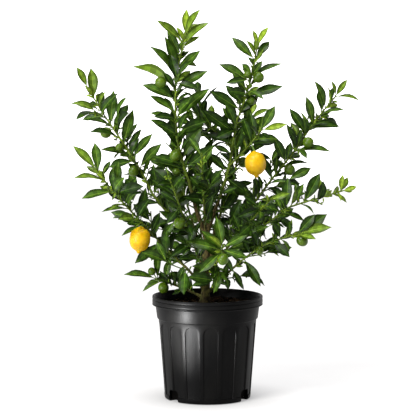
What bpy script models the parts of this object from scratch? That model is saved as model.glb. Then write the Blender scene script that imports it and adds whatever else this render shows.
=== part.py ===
"""A young citrus tree that bears both lemons and limes, in a fluted nursery pot.

The tree stands in the middle of its pot, +Z up and metres, with the origin in the middle of the
pot's flat underside. The front is towards -Y. Azimuths turn from +X (right) towards +Y (back).
"""
import math
import random
from typing import NamedTuple

import bmesh
import bpy
from mathutils import Vector
from mathutils.bvhtree import BVHTree
from mathutils.kdtree import KDTree

# The first mass's seed; each next mass has the next number
FIRST_SEED = 41

# Clearances
GAP = 0.0003
SPACE_MARGIN = 0.002

# Pot, from its rim down: the rolled rim, a band below it, the plain wall and the rounded foot
POT_HEIGHT = 0.2577
RIM_RADIUS = 0.1382
RIM_LOW = 0.2350
RIM_CHAMFER = 0.0022
RIM_THICKNESS = 0.0045
BAND_TOP_RADIUS = 0.1300
BAND_LOW_RADIUS = 0.1263
BAND_LOW = 0.2009
BAND_EDGE = 0.0020
WALL_TOP_RADIUS = 0.1225
WALL_TOP = 0.1995
WALL_LOW_RADIUS = 0.1080
FOOT_RADIUS = 0.1035
FOOT_HEIGHT = 0.0050
POT_WALL = 0.0030
POT_SIDES = 48

# Flutes pressed into the pot's wall, and the drain notches at its foot
FLUTE_COUNT = 16
FLUTE_WIDTH = 0.0362
FLUTE_LOW = 0.0120
FLUTE_TOP = 0.1930
FLUTE_DEPTH = 0.0014
FRONT_FLUTE = 4.0
NOTCH_COUNT = 4
NOTCH_OFFSET = 56.25
NOTCH_WIDTH = 0.0355
NOTCH_HEIGHT = 0.0290
NOTCH_ROUND = 0.0090
NOTCH_INNER_RADIUS = 0.0900
CUTTER_SPARE = 0.0040

# Potting mix
SOIL_TOP = 0.2320

# Trunk
TRUNK_FORK = 0.4080
TRUNK_FOOT_RADIUS = 0.0112
TRUNK_FORK_RADIUS = 0.0074
FLARE = 0.0055
FLARE_HEIGHT = 0.0120
TRUNK_FOOT_X = -0.0075
TRUNK_BOW = 0.0035
TRUNK_SIDES = 12

# Boughs, stems and twigs
BOUGH_SIDES = 7
TWIG_SIDES = 3
STEM_TIP_RADIUS = 0.0012
TWIG_RADIUS = 0.0016
TWIG_TIP_RADIUS = 0.0008
STALK_RADIUS = 0.0013
PATH_STEP = 0.015
BOUGH_STEP = 0.030
STEM_STEP = 0.055

# Twigs off a stem: spacing, reach, angle, and how they bend up to the light
TWIG_SPACING = 0.056
TWIG_FIRST = 0.022
TWIG_LAST_SHARE = 0.80
TWIG_REACH = (0.060, 0.105)
TWIG_REACH_SHARES = (1.15, 0.55)
TWIG_SPREAD = (40.0, 52.0)
TWIG_LIFT = 0.22
TWIG_TRIES = (0.0, 70.0, 140.0)

# Leaves: each turns on from the last about its twig, and a try that has no room is turned and cut down
LEAF_LENGTH = 0.066
LEAF_WIDTH_SHARE = 0.48
LEAF_WIDEST_SHARE = 0.47
LEAF_THICKNESS = 0.0013
LEAF_FOLD = 0.10
LEAF_DROOP = 0.10
LEAF_SINK = 0.0012
LEAF_SPACING = 0.0205
LEAF_FIRST = 0.014
LEAF_LAST = 0.006
LEAF_TURN = 137.5
LEAF_SPREADS = (62.0, 40.0)
LEAF_LIFT = 0.16
LEAF_TIP_LOSS = 0.22
LEAF_TRIES = ((0.0, 1.0), (40.0, 0.9), (-55.0, 0.8))
TIP_LEAF = 0.060

# What a leaf's upper face turns to: along the twig, up, away from the trunk, and to the front
LIGHT_FORWARD = 0.40
LIGHT_UP = 0.45
LIGHT_OUTWARD = 0.35
LIGHT_FRONT = (0.22, 0.90)

# Fruit: radius across, half length
FRUIT_SIZES = {"lemon": (0.0260, 0.0330), "lime": (0.0140, 0.0148), "small_lime": (0.0100, 0.0104)}
FRUIT_SIDES = {"lemon": (10, 6), "lime": (8, 4), "small_lime": (6, 4)}
NIPPLE_PINCH = 0.62


class Fruit(NamedTuple):
    """A fruit on a leafy stem: how far along it, and its middle from the stem there."""
    kind: str
    along: float
    hang: tuple[float, float, float]


class Side(NamedTuple):
    """A named side shoot: where it leaves the stem, and how it runs."""
    along: float
    azimuth: float
    rise: float
    tip_rise: float
    length: float
    fruit: tuple[Fruit, ...] = ()


class Shoot(NamedTuple):
    """A bough with its leafy stem: foot height on the trunk, direction, and lengths."""
    name: str
    foot: float
    azimuth: float
    rise: float
    tip_rise: float
    length: float
    bare: float
    radius: float
    sides: tuple[Side, ...] = ()
    fruit: tuple[Fruit, ...] = ()


SHOOTS = (
    Shoot("left_low", 0.268, 202, 51, 47, 0.462, 0.068, 0.0045, fruit=(
        Fruit("lemon", 0.255, (0.004, -0.014, -0.046)),)),
    Shoot("left_high", 0.354, 165, 50, 59, 0.548, 0.080, 0.0050, fruit=(
        Fruit("lime", 0.260, (-0.012, -0.008, -0.013)),
        Fruit("small_lime", 0.345, (-0.009, -0.009, -0.004)),
        Fruit("lime", 0.390, (-0.017, -0.006, -0.006)))),
    Shoot("left_leader", TRUNK_FORK, 190, 66, 103, 0.520, 0.070, 0.0060, fruit=(
        Fruit("small_lime", 0.160, (-0.014, -0.010, 0.0)),
        Fruit("lime", 0.205, (-0.012, -0.012, -0.006)),
        Fruit("lime", 0.385, (-0.034, -0.010, -0.004)))),
    Shoot("right_leader", TRUNK_FORK, 20, 68, 76, 0.471, 0.070, 0.0060, sides=(
        Side(0.182, 325, 40, 47, 0.135, fruit=(
            Fruit("lemon", 0.105, (0.004, -0.010, -0.052)),)),
        Side(0.225, 160, 47, 35, 0.145)), fruit=(
        Fruit("small_lime", 0.350, (0.018, -0.010, 0.0)),
        Fruit("lime", 0.418, (0.016, -0.010, -0.006)),
        Fruit("small_lime", 0.425, (-0.012, -0.010, -0.006)))),
    Shoot("right_high", 0.341, 12, 53, 51, 0.522, 0.085, 0.0050, fruit=(
        Fruit("lime", 0.335, (0.018, -0.008, -0.014)),
        Fruit("lime", 0.430, (0.004, -0.014, -0.010)))),
    Shoot("right_middle", 0.326, 345, 42, 16, 0.398, 0.075, 0.0045),
    Shoot("right_low", 0.258, 330, 46, 13, 0.330, 0.062, 0.0042, fruit=(
        Fruit("small_lime", 0.195, (0.002, -0.010, -0.010)),
        Fruit("lime", 0.290, (0.004, -0.004, -0.022)))),
    Shoot("left_lowest", 0.250, 168, 24, 14, 0.158, 0.042, 0.0034, fruit=(
        Fruit("lime", 0.098, (-0.004, -0.010, -0.017)),
        Fruit("small_lime", 0.125, (-0.008, -0.006, 0.014)))),
    Shoot("front_low", 0.283, 286, 30, 44, 0.185, 0.050, 0.0036, fruit=(
        Fruit("lime", 0.165, (0.006, -0.016, -0.024)),)),
    Shoot("front_left", 0.300, 246, 50, 52, 0.360, 0.065, 0.0042, fruit=(
        Fruit("lime", 0.220, (-0.008, -0.010, -0.018)),)),
    Shoot("front_right", 0.312, 311, 43, 38, 0.315, 0.065, 0.0042),
    Shoot("front_high", 0.384, 264, 60, 72, 0.300, 0.060, 0.0042),
    Shoot("back_left", 0.335, 125, 56, 68, 0.330, 0.065, 0.0044, fruit=(
        Fruit("lime", 0.210, (-0.008, 0.014, -0.016)),)),
    Shoot("back_right", 0.362, 60, 52, 60, 0.400, 0.070, 0.0046, fruit=(
        Fruit("lime", 0.285, (0.012, 0.010, -0.014)),)),
    Shoot("back_low", 0.292, 96, 38, 42, 0.335, 0.062, 0.0042, fruit=(
        Fruit("lime", 0.255, (-0.006, 0.008, -0.020)),)),
    Shoot("back_high", 0.390, 84, 64, 74, 0.310, 0.060, 0.0042),
)

Shape = tuple[list[Vector], list[tuple[int, ...]]]


def clear_scene() -> None:
    """Remove whatever the file holds."""
    for old in list(bpy.data.objects):
        bpy.data.objects.remove(old, do_unlink=True)


def plain_material(name: str, colour: tuple[float, float, float], roughness: float) -> bpy.types.Material:
    """A Principled material of one colour and roughness, not metallic."""
    material = bpy.data.materials.new(name)
    material.use_nodes = True
    shader = material.node_tree.nodes["Principled BSDF"]
    shader.inputs["Base Color"].default_value = (*colour, 1.0)
    shader.inputs["Roughness"].default_value = roughness
    shader.inputs["Metallic"].default_value = 0.0
    material.diffuse_color = (*colour, 1.0)
    return material


def mesh_object(name: str, shape: Shape, material: bpy.types.Material) -> bpy.types.Object:
    """Make an object of a closed shape, with its faces turned outwards."""
    mesh = bpy.data.meshes.new(name)
    mesh.from_pydata([tuple(corner) for corner in shape[0]], [], shape[1])
    body = bmesh.new()
    body.from_mesh(mesh)
    bmesh.ops.recalc_face_normals(body, faces=body.faces)
    body.to_mesh(mesh)
    body.free()
    mesh.materials.append(material)
    made = bpy.data.objects.new(name, mesh)
    bpy.context.scene.collection.objects.link(made)
    return made


def smooth(made: bpy.types.Object, sharp_degrees: float) -> None:
    """Shade a round piece smooth, and keep its edges sharp past an angle."""
    made.data.shade_smooth()
    made.data.set_sharp_from_angle(angle=math.radians(sharp_degrees))


def as_cutter(made: bpy.types.Object) -> bpy.types.Object:
    """Mark an object as a cutter, which isn't part of the tree."""
    made.hide_render = True
    made.display_type = "WIRE"
    return made


def boolean(target: bpy.types.Object, tools: list[bpy.types.Object], operation: str) -> None:
    """Join or cut a target by a collection of objects, apply it, and remove them."""
    group = bpy.data.collections.new(target.name + "_tools")
    bpy.context.scene.collection.children.link(group)
    for tool in tools:
        group.objects.link(tool)
    modifier = target.modifiers.new("boolean", "BOOLEAN")
    modifier.operation = operation
    modifier.operand_type = "COLLECTION"
    modifier.collection = group
    modifier.solver = "EXACT"
    modifier.material_mode = "TRANSFER"
    evaluated = target.evaluated_get(bpy.context.evaluated_depsgraph_get())
    result = bpy.data.meshes.new_from_object(evaluated)
    target.modifiers.remove(modifier)
    target.data = result
    for tool in tools:
        bpy.data.objects.remove(tool, do_unlink=True)
    bpy.data.collections.remove(group)


def turned(profile: list[tuple[float, float]], sides: int, first: float = 0.0) -> Shape:
    """Turn a profile of (radius, height) points, from axis to axis, about Z."""
    corners: list[Vector] = [Vector((0.0, 0.0, profile[0][1]))]
    for radius, height in profile[1:-1]:
        for side in range(sides):
            angle = math.radians(first) + math.tau * side / sides
            corners.append(Vector((radius * math.cos(angle), radius * math.sin(angle), height)))
    corners.append(Vector((0.0, 0.0, profile[-1][1])))
    last = len(corners) - 1
    faces: list[tuple[int, ...]] = []
    for side in range(sides):
        after = (side + 1) % sides
        faces.append((0, 1 + after, 1 + side))
        faces.append((last, last - sides + side, last - sides + after))
        for ring in range(len(profile) - 3):
            low = 1 + ring * sides
            high = low + sides
            faces.append((low + side, low + after, high + after, high + side))
    return corners, faces


def swept(points: list[Vector], radii: list[float], sides: int, level: bool = False) -> Shape:
    """Sweep a round section along a path, with flat ends square to it or level."""
    tangents = [points[1] - points[0]]
    tangents += [points[i + 1] - points[i - 1] for i in range(1, len(points) - 1)]
    tangents.append(points[-1] - points[-2])
    if level:
        tangents = [Vector((0.0, 0.0, 1.0)) for _ in points]
    across = tangents[0].cross(Vector((0.0, 1.0, 0.3))).normalized()
    corners: list[Vector] = []
    for point, tangent, radius in zip(points, tangents, radii):
        tangent.normalize()
        across = (across - tangent * across.dot(tangent)).normalized()
        other = tangent.cross(across)
        for side in range(sides):
            angle = math.tau * side / sides
            corners.append(point + radius * (math.cos(angle) * across + math.sin(angle) * other))
    faces: list[tuple[int, ...]] = [tuple(range(sides)), tuple(range(len(corners) - sides, len(corners)))]
    for ring in range(len(points) - 1):
        for side in range(sides):
            after = (side + 1) % sides
            low = ring * sides
            faces.append((low + side, low + after, low + sides + after, low + sides + side))
    return corners, faces


def wall_radius(height: float) -> float:
    """The pot's outer radius on its plain wall."""
    share = (height - FOOT_HEIGHT) / (WALL_TOP - FOOT_HEIGHT)
    return WALL_LOW_RADIUS + (WALL_TOP_RADIUS - WALL_LOW_RADIUS) * share


def pot_profile() -> list[tuple[float, float]]:
    """The pot's outside, from the middle of its underside to the middle of its open top."""
    profile = [(0.0, 0.0), (FOOT_RADIUS, 0.0)]
    for degrees in (45, 90):
        turn = math.radians(degrees)
        profile.append((FOOT_RADIUS + (WALL_LOW_RADIUS - FOOT_RADIUS) * math.sin(turn),
                        FOOT_HEIGHT * (1.0 - math.cos(turn))))
    profile += [(WALL_TOP_RADIUS, WALL_TOP), (BAND_LOW_RADIUS - BAND_EDGE, BAND_LOW),
                (BAND_LOW_RADIUS, BAND_LOW + BAND_EDGE), (BAND_TOP_RADIUS, RIM_LOW - BAND_EDGE)]
    profile += [(RIM_RADIUS - RIM_CHAMFER, RIM_LOW), (RIM_RADIUS, RIM_LOW + RIM_CHAMFER),
                (RIM_RADIUS, POT_HEIGHT - RIM_CHAMFER), (RIM_RADIUS - RIM_CHAMFER, POT_HEIGHT)]
    return profile + [(0.0, POT_HEIGHT)]


def inside_profile(clearance: float, top: float) -> list[tuple[float, float]]:
    """The pot's inside, drawn in by a clearance and cut off at a height."""
    floor = POT_WALL + clearance
    corners = [(wall_radius(POT_WALL) - POT_WALL, floor), (WALL_TOP_RADIUS - POT_WALL, WALL_TOP),
               (BAND_TOP_RADIUS - POT_WALL, RIM_LOW), (RIM_RADIUS - RIM_THICKNESS, POT_HEIGHT)]
    profile = [(0.0, floor)]
    for (radius, height), (next_radius, next_height) in zip(corners, corners[1:]):
        profile.append((radius - clearance, height))
        if top <= next_height:
            share = (top - height) / (next_height - height)
            profile.append((radius + (next_radius - radius) * share - clearance, top))
            return profile + [(0.0, top)]
    return profile + [corners[-1], (corners[-1][0], top), (0.0, top)]


def flute_cutter(index: int, material: bpy.types.Material) -> bpy.types.Object:
    """A curved panel with an arched top, which presses one flute into the wall."""
    half = FLUTE_WIDTH / 2
    shares = (-1.0, -0.72, 0.0, 0.72, 1.0)
    middle = math.radians(FRONT_FLUTE - 90.0 + 360.0 * index / FLUTE_COUNT)
    middle_radius = wall_radius((FLUTE_LOW + FLUTE_TOP) / 2)
    corners: list[Vector] = []
    for share in shares:
        angle = middle + share * half / middle_radius
        arch_top = FLUTE_TOP - half * (1.0 - math.sqrt(1.0 - share * share))
        for height in (FLUTE_LOW, arch_top):
            for offset in (-FLUTE_DEPTH, CUTTER_SPARE):
                radius = wall_radius(height) + offset
                corners.append(Vector((radius * math.cos(angle), radius * math.sin(angle), height)))
    faces: list[tuple[int, ...]] = [(0, 1, 3, 2), (16, 18, 19, 17)]
    for column in range(len(shares) - 1):
        a = 4 * column
        b = a + 4
        faces += [(a, a + 2, b + 2, b), (a + 1, b + 1, b + 3, a + 3), (a, b, b + 1, a + 1),
                  (a + 2, a + 3, b + 3, b + 2)]
    return as_cutter(mesh_object(f"flute_{index:02d}", (corners, faces), material))


def notch_cutter(index: int, material: bpy.types.Material) -> bpy.types.Object:
    """A block with rounded upper corners, which cuts one drain notch through the foot."""
    outline = [(-NOTCH_WIDTH / 2, -CUTTER_SPARE), (NOTCH_WIDTH / 2, -CUTTER_SPARE)]
    for side, turns in ((1.0, (0, 30, 60, 90)), (-1.0, (90, 60, 30, 0))):
        for degrees in turns:
            turn = math.radians(degrees)
            outline.append((side * (NOTCH_WIDTH / 2 - NOTCH_ROUND * (1.0 - math.cos(turn))),
                            NOTCH_HEIGHT - NOTCH_ROUND * (1.0 - math.sin(turn))))
    quarter = 180.0 * (index // 2) + (NOTCH_OFFSET if index % 2 else -NOTCH_OFFSET)
    middle = math.radians(FRONT_FLUTE - 90.0 + quarter)
    outward = Vector((math.cos(middle), math.sin(middle), 0.0))
    sideways = Vector((-outward.y, outward.x, 0.0))
    corners = [outward * radius + sideways * across + Vector((0.0, 0.0, height))
               for radius in (NOTCH_INNER_RADIUS, RIM_RADIUS) for across, height in outline]
    count = len(outline)
    faces: list[tuple[int, ...]] = [tuple(range(count)), tuple(range(count, 2 * count))]
    for corner in range(count):
        after = (corner + 1) % count
        faces.append((corner, after, count + after, count + corner))
    return as_cutter(mesh_object(f"notch_{index}", (corners, faces), material))


def build_pot() -> bpy.types.Object:
    """The moulded pot: a turned body, hollowed, fluted and notched."""
    material = plain_material("black_moulded_plastic", (0.018, 0.018, 0.019), 0.42)
    first = FRONT_FLUTE - 90.0 - 180.0 / FLUTE_COUNT
    pot = mesh_object("nursery_pot", turned(pot_profile(), POT_SIDES, first), material)
    hollow = turned(inside_profile(0.0, POT_HEIGHT + CUTTER_SPARE), POT_SIDES, first)
    cutters = [as_cutter(mesh_object("pot_hollow", hollow, material))]
    cutters += [flute_cutter(index, material) for index in range(FLUTE_COUNT)]
    cutters += [notch_cutter(index, material) for index in range(NOTCH_COUNT)]
    boolean(pot, cutters, "DIFFERENCE")
    smooth(pot, 30.0)
    return pot


def build_soil() -> bpy.types.Object:
    """The potting mix that fills the pot, a hair clear of its walls."""
    material = plain_material("bark_potting_mix", (0.045, 0.028, 0.018), 0.95)
    first = FRONT_FLUTE - 90.0 - 180.0 / FLUTE_COUNT
    soil = mesh_object("potting_soil", turned(inside_profile(GAP, SOIL_TOP), POT_SIDES, first), material)
    smooth(soil, 30.0)
    return soil


def trunk_point(height: float) -> Vector:
    """A point on the trunk's middle line, which leans and bows a little."""
    share = (height - SOIL_TOP) / (TRUNK_FORK - SOIL_TOP)
    bow = TRUNK_BOW * math.sin(math.pi * share)
    return Vector((TRUNK_FOOT_X * (1.0 - 0.5 * share) + bow, -0.5 * bow, height))


def trunk_radius(height: float) -> float:
    """The trunk's radius: an even taper, with a flare at the soil."""
    rise = height - SOIL_TOP
    share = rise / (TRUNK_FORK - SOIL_TOP)
    taper = TRUNK_FOOT_RADIUS + (TRUNK_FORK_RADIUS - TRUNK_FOOT_RADIUS) * share
    return taper + FLARE * math.exp(-rise / FLARE_HEIGHT)


def trunk_shape(grow: float) -> Shape:
    """The trunk's shape, grown by a clearance where it serves as a cutter."""
    steps = (0.0, 0.035, 0.08, 0.16, 0.34, 0.54, 0.77, 1.0)
    foot = SOIL_TOP + GAP
    heights = [foot + (TRUNK_FORK - foot) * step for step in steps]
    points = [trunk_point(height) for height in heights]
    radii = [trunk_radius(height) + grow for height in heights]
    points[-1] = points[-1] + Vector((0.0, 0.0, grow))
    return swept(points, radii, TRUNK_SIDES, level=True)


def shoot_path(start: Vector, azimuth: float, rise: float, tip_rise: float, length: float) -> list[Vector]:
    """A shoot's middle line, whose rise above level changes evenly from foot to tip."""
    count = max(3, round(length / PATH_STEP))
    turn = math.radians(azimuth)
    points = [start.copy()]
    for step in range(count):
        pitch = math.radians(rise + (tip_rise - rise) * (step + 0.5) / count)
        flat = Vector((math.cos(turn), math.sin(turn), 0.0)) * math.cos(pitch)
        points.append(points[-1] + (flat + Vector((0.0, 0.0, math.sin(pitch)))) * (length / count))
    return points


def along_path(path: list[Vector], distance: float) -> tuple[Vector, Vector]:
    """The point and the direction at a distance along a path."""
    for start, end in zip(path, path[1:]):
        piece = (end - start).length
        if distance <= piece or end is path[-1]:
            heading = (end - start).normalized()
            return start + heading * distance, heading
        distance -= piece
    raise ValueError("a path has at least two points")


def path_length(path: list[Vector]) -> float:
    """A path's length from its first point to its last."""
    return sum((end - start).length for start, end in zip(path, path[1:]))


def stretch(path: list[Vector], start: float, end: float, step: float) -> tuple[list[Vector], list[float]]:
    """Points along part of a path, and their distances from its foot."""
    count = max(1, round((end - start) / step))
    distances = [start + (end - start) * index / count for index in range(count + 1)]
    return [along_path(path, distance)[0] for distance in distances], distances


def shoot_radius(shoot: Shoot, distance: float) -> float:
    """A shoot's radius at a distance from its foot."""
    left = max(0.0, 1.0 - distance / shoot.length)
    return STEM_TIP_RADIUS + (shoot.radius - STEM_TIP_RADIUS) * left ** 1.2


def bough_shape(shoot: Shoot, path: list[Vector], grow: float) -> Shape:
    """The bare, tapering foot of a shoot, from inside the trunk to its leafy stem."""
    points, distances = stretch(path, 0.0, shoot.bare, BOUGH_STEP)
    return swept(points, [shoot_radius(shoot, distance) + grow for distance in distances], BOUGH_SIDES)


def leaf_shape(root: Vector, heading: Vector, facing: Vector, length: float) -> Shape:
    """A leaf of eight faces: a flat, folded blade with its root sunk in its twig."""
    across = facing.cross(heading).normalized()
    normal = heading.cross(across).normalized()
    half = length * LEAF_WIDTH_SHARE / 2
    middle = root + heading * (LEAF_WIDEST_SHARE * length)
    corners = [
        root - heading * LEAF_SINK, root + heading * length - normal * (LEAF_DROOP * length),
        middle + across * half + normal * (LEAF_FOLD * half),
        middle - across * half + normal * (LEAF_FOLD * half),
        middle + normal * (LEAF_THICKNESS / 2), middle - normal * (LEAF_THICKNESS / 2)]
    return corners, [(0, 3, 4), (3, 1, 4), (1, 2, 4), (2, 0, 4), (3, 0, 5), (1, 3, 5), (2, 1, 5), (0, 2, 5)]


def fruit_shape(kind: str, middle: Vector, hanging: Vector) -> Shape:
    """A fruit about the line it hangs on; a lemon ends in a blunt nipple."""
    across, half = FRUIT_SIZES[kind]
    sides, rings = FRUIT_SIDES[kind]
    profile = [(0.0, -half)]
    for ring in range(1, rings):
        turn = math.pi * ring / rings
        has_nipple = kind == "lemon" and ring == rings - 1
        pinch = NIPPLE_PINCH if has_nipple else 1.0
        profile.append((across * math.sin(turn) * pinch, -half * math.cos(turn)))
    profile.append((0.0, half))
    corners, faces = turned(profile, sides)
    turn = Vector((0.0, 0.0, 1.0)).rotation_difference(hanging)
    return [middle + turn @ corner for corner in corners], faces


class Crown:
    """All that has grown so far, and the space that each mass keeps to."""

    def __init__(self) -> None:
        self.grown: list[tuple[BVHTree, Vector, float]] = []
        self.lines: dict[str, list[Vector]] = {}
        self.own: dict[str, KDTree] = {}
        self.others: dict[str, KDTree] = {}

    def share_out(self) -> None:
        """Give each mass the space that lies nearest to its own lines."""
        for name in self.lines:
            rest = [point for other, line in self.lines.items() if other != name for point in line]
            for trees, points in ((self.own, self.lines[name]), (self.others, rest)):
                tree = KDTree(len(points))
                for index, point in enumerate(points):
                    tree.insert(point, index)
                tree.balance()
                trees[name] = tree

    def has_room(self, name: str, shape: Shape, corners: list[Vector], carrier: int) -> bool:
        """Whether corners lie in a mass's own space, and their shape crosses nothing but its carrier."""
        own = self.own[name]
        others = self.others[name]
        if any(own.find(corner)[2] + SPACE_MARGIN >= others.find(corner)[2] for corner in corners):
            return False
        return self.is_clear(shape, carrier)

    def add(self, shape: Shape) -> int:
        """Note a shape as grown, and give its number."""
        middle = sum(shape[0], Vector()) / len(shape[0])
        reach = max((corner - middle).length for corner in shape[0])
        self.grown.append((BVHTree.FromPolygons(shape[0], shape[1]), middle, reach))
        return len(self.grown) - 1

    def is_clear(self, shape: Shape, carrier: int) -> bool:
        """Whether a shape crosses nothing that has grown, but for what carries it."""
        middle = sum(shape[0], Vector()) / len(shape[0])
        reach = max((corner - middle).length for corner in shape[0])
        tree = BVHTree.FromPolygons(shape[0], shape[1])
        for number, (other, centre, other_reach) in enumerate(self.grown):
            if number == carrier or (centre - middle).length > reach + other_reach:
                continue
            if tree.overlap(other):
                return False
        return True


class Mass:
    """One mass of foliage: a stem, its side shoots and twigs, its fruit and its leaves."""

    def __init__(self, shoot: Shoot, path: list[Vector], crown: Crown, seed: int) -> None:
        self.shoot = shoot
        self.path = path
        self.crown = crown
        self.draw = random.Random(seed)
        self.wood: list[Shape] = []
        self.leaves: list[Shape] = []
        self.fruit: list[tuple[str, Shape]] = []
        self.axes: list[tuple[list[Vector], int, float]] = []

    def grow_wood(self, shape: Shape) -> int:
        """Add a stem or twig to the mass and to the crown."""
        self.wood.append(shape)
        return self.crown.add(shape)

    def grow_stem(self) -> None:
        """Grow the stem on from the bough's tip, then the named side shoots and the fruit."""
        start = self.shoot.bare + GAP
        points, distances = stretch(self.path, start, self.shoot.length, STEM_STEP)
        stem = swept(points, [shoot_radius(self.shoot, distance) for distance in distances], TWIG_SIDES)
        self.axes.append((self.path, self.grow_wood(stem), start + LEAF_FIRST))
        self.hang_fruit(self.path, self.shoot.fruit)
        for side in self.shoot.sides:
            root = along_path(self.path, side.along)[0]
            path = shoot_path(root, side.azimuth, side.rise, side.tip_rise, side.length)
            points, distances = stretch(path, 0.0, side.length, STEM_STEP)
            taper = (TWIG_TIP_RADIUS - TWIG_RADIUS) / side.length
            radii = [TWIG_RADIUS + taper * distance for distance in distances]
            self.axes.append((path, self.grow_wood(swept(points, radii, TWIG_SIDES)), LEAF_FIRST))
            self.hang_fruit(path, side.fruit)

    def hang_fruit(self, path: list[Vector], fruit: tuple[Fruit, ...]) -> None:
        """Hang fruit on a stem, each on a stalk that is sunk in both."""
        for item in fruit:
            root = along_path(path, item.along)[0]
            middle = root + Vector(item.hang)
            hanging = (middle - root).normalized()
            if item.kind == "lemon":
                hanging = (hanging + Vector((0.0, 0.0, -1.0))).normalized()
            shape = fruit_shape(item.kind, middle, hanging)
            self.fruit.append((item.kind, shape))
            self.crown.add(shape)
            self.wood.append(swept([root, middle], [STALK_RADIUS, STALK_RADIUS], TWIG_SIDES))

    def grow_twigs(self) -> None:
        """Branch short twigs off the stem and its side shoots by a seeded rule."""
        for path, carrier, first in list(self.axes):
            length = path_length(path)
            distance = first + TWIG_FIRST
            turn = self.draw.uniform(0.0, 360.0)
            while distance < length * TWIG_LAST_SHARE:
                turn += LEAF_TURN + self.draw.uniform(-25.0, 25.0)
                foot_share, tip_share = TWIG_REACH_SHARES
                share = foot_share + (tip_share - foot_share) * distance / length
                self.grow_twig(path, carrier, distance, turn, self.draw.uniform(*TWIG_REACH) * share)
                distance += TWIG_SPACING * self.draw.uniform(0.85, 1.2)

    def grow_twig(self, path: list[Vector], carrier: int, distance: float, turn: float,
                  reach: float) -> None:
        """Grow one twig, if it keeps to its mass's space and crosses nothing."""
        root, heading = along_path(path, distance)
        for more in TWIG_TRIES:
            outward = self.outward(heading, turn + more, self.draw.uniform(*TWIG_SPREAD))
            bend = (outward + Vector((0.0, 0.0, TWIG_LIFT))).normalized()
            elbow = root + outward * (0.5 * reach)
            points = [root, elbow, elbow + bend * (0.5 * reach)]
            radii = [TWIG_RADIUS, 0.5 * (TWIG_RADIUS + TWIG_TIP_RADIUS), TWIG_TIP_RADIUS]
            shape = swept(points, radii, TWIG_SIDES)
            if self.crown.has_room(self.shoot.name, shape, points[1:], carrier):
                self.axes.append((points, self.grow_wood(shape), LEAF_FIRST))
                return

    def outward(self, heading: Vector, turn: float, spread: float) -> Vector:
        """A direction that leaves a stem at an angle, turned about it."""
        level = heading.cross(Vector((0.0, 0.0, 1.0)))
        level = level.normalized() if level.length > 0.05 else Vector((1.0, 0.0, 0.0))
        upper = level.cross(heading).normalized()
        angle = math.radians(turn)
        side = math.cos(angle) * level + math.sin(angle) * upper
        tilt = math.radians(spread)
        return (heading * math.cos(tilt) + side * math.sin(tilt)).normalized()

    def grow_leaves(self) -> None:
        """Set leaves along every stem and twig, and one at each tip."""
        for path, carrier, first in self.axes:
            length = path_length(path)
            turn = self.draw.uniform(0.0, 360.0)
            tip, heading = along_path(path, length)
            size = TIP_LEAF * self.draw.uniform(0.85, 1.05)
            self.try_leaf(tip - heading * (2.0 * LEAF_SINK), heading, heading, size, carrier)
            distance = first
            while distance < length - LEAF_LAST:
                root, heading = along_path(path, distance)
                share = distance / length
                turn += LEAF_TURN + self.draw.uniform(-16.0, 16.0)
                size = LEAF_LENGTH * (1.04 - LEAF_TIP_LOSS * share ** 3) * self.draw.uniform(0.88, 1.10)
                spread = LEAF_SPREADS[0] + (LEAF_SPREADS[1] - LEAF_SPREADS[0]) * share
                spread += self.draw.uniform(-9.0, 9.0)
                for lean, scale in LEAF_TRIES:
                    outward = self.outward(heading, turn + lean, spread) + Vector((0.0, 0.0, LEAF_LIFT))
                    if self.try_leaf(root, outward.normalized(), heading, size * scale, carrier):
                        break
                distance += LEAF_SPACING * self.draw.uniform(0.9, 1.15)

    def try_leaf(self, root: Vector, outward: Vector, heading: Vector, size: float, carrier: int) -> bool:
        """Add a leaf if it keeps to its mass's space and crosses nothing."""
        front = self.draw.uniform(*LIGHT_FRONT)
        facing = heading * LIGHT_FORWARD + Vector((0.0, -front, LIGHT_UP))
        facing += Vector((root.x, root.y, 0.0)).normalized() * LIGHT_OUTWARD
        if facing.cross(outward).length < 0.25:
            facing = Vector((0.3, -1.0, 0.6))
        shape = leaf_shape(root, outward, facing, size)
        if not self.crown.has_room(self.shoot.name, shape, shape[0][1:], carrier):
            return False
        self.leaves.append(shape)
        self.crown.add(shape)
        return True

    def join(self, green: bpy.types.Material, skins: dict[str, bpy.types.Material]) -> bpy.types.Object:
        """Join the stem, twigs, leaves and fruit in one closed body."""
        name = f"foliage_{self.shoot.name}"
        stem = mesh_object(name, self.wood[0], green)
        others = [mesh_object(f"{name}_part", shape, green) for shape in self.wood[1:] + self.leaves]
        others += [mesh_object(f"{name}_part", shape, skins[kind]) for kind, shape in self.fruit]
        boolean(stem, others, "UNION")
        return stem


def build_trunk_and_boughs(paths: dict[str, list[Vector]]) -> list[Shape]:
    """The trunk and one bough for each shoot, each bough cut clear of what it leaves."""
    bark = plain_material("brown_bark", (0.19, 0.13, 0.075), 0.85)
    young_bark = plain_material("green_brown_bark", (0.16, 0.16, 0.07), 0.75)
    smooth(mesh_object("trunk", trunk_shape(0.0), bark), 50.0)
    shapes = [trunk_shape(0.0)]
    earlier = [trunk_shape(GAP)]
    for shoot in SHOOTS:
        shape = bough_shape(shoot, paths[shoot.name], 0.0)
        bough = mesh_object(f"bough_{shoot.name}", shape, young_bark)
        cutters = [as_cutter(mesh_object("limb_cutter", cutter, bark)) for cutter in earlier]
        boolean(bough, cutters, "DIFFERENCE")
        smooth(bough, 50.0)
        shapes.append(shape)
        earlier.append(bough_shape(shoot, paths[shoot.name], GAP))
    return shapes


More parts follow.
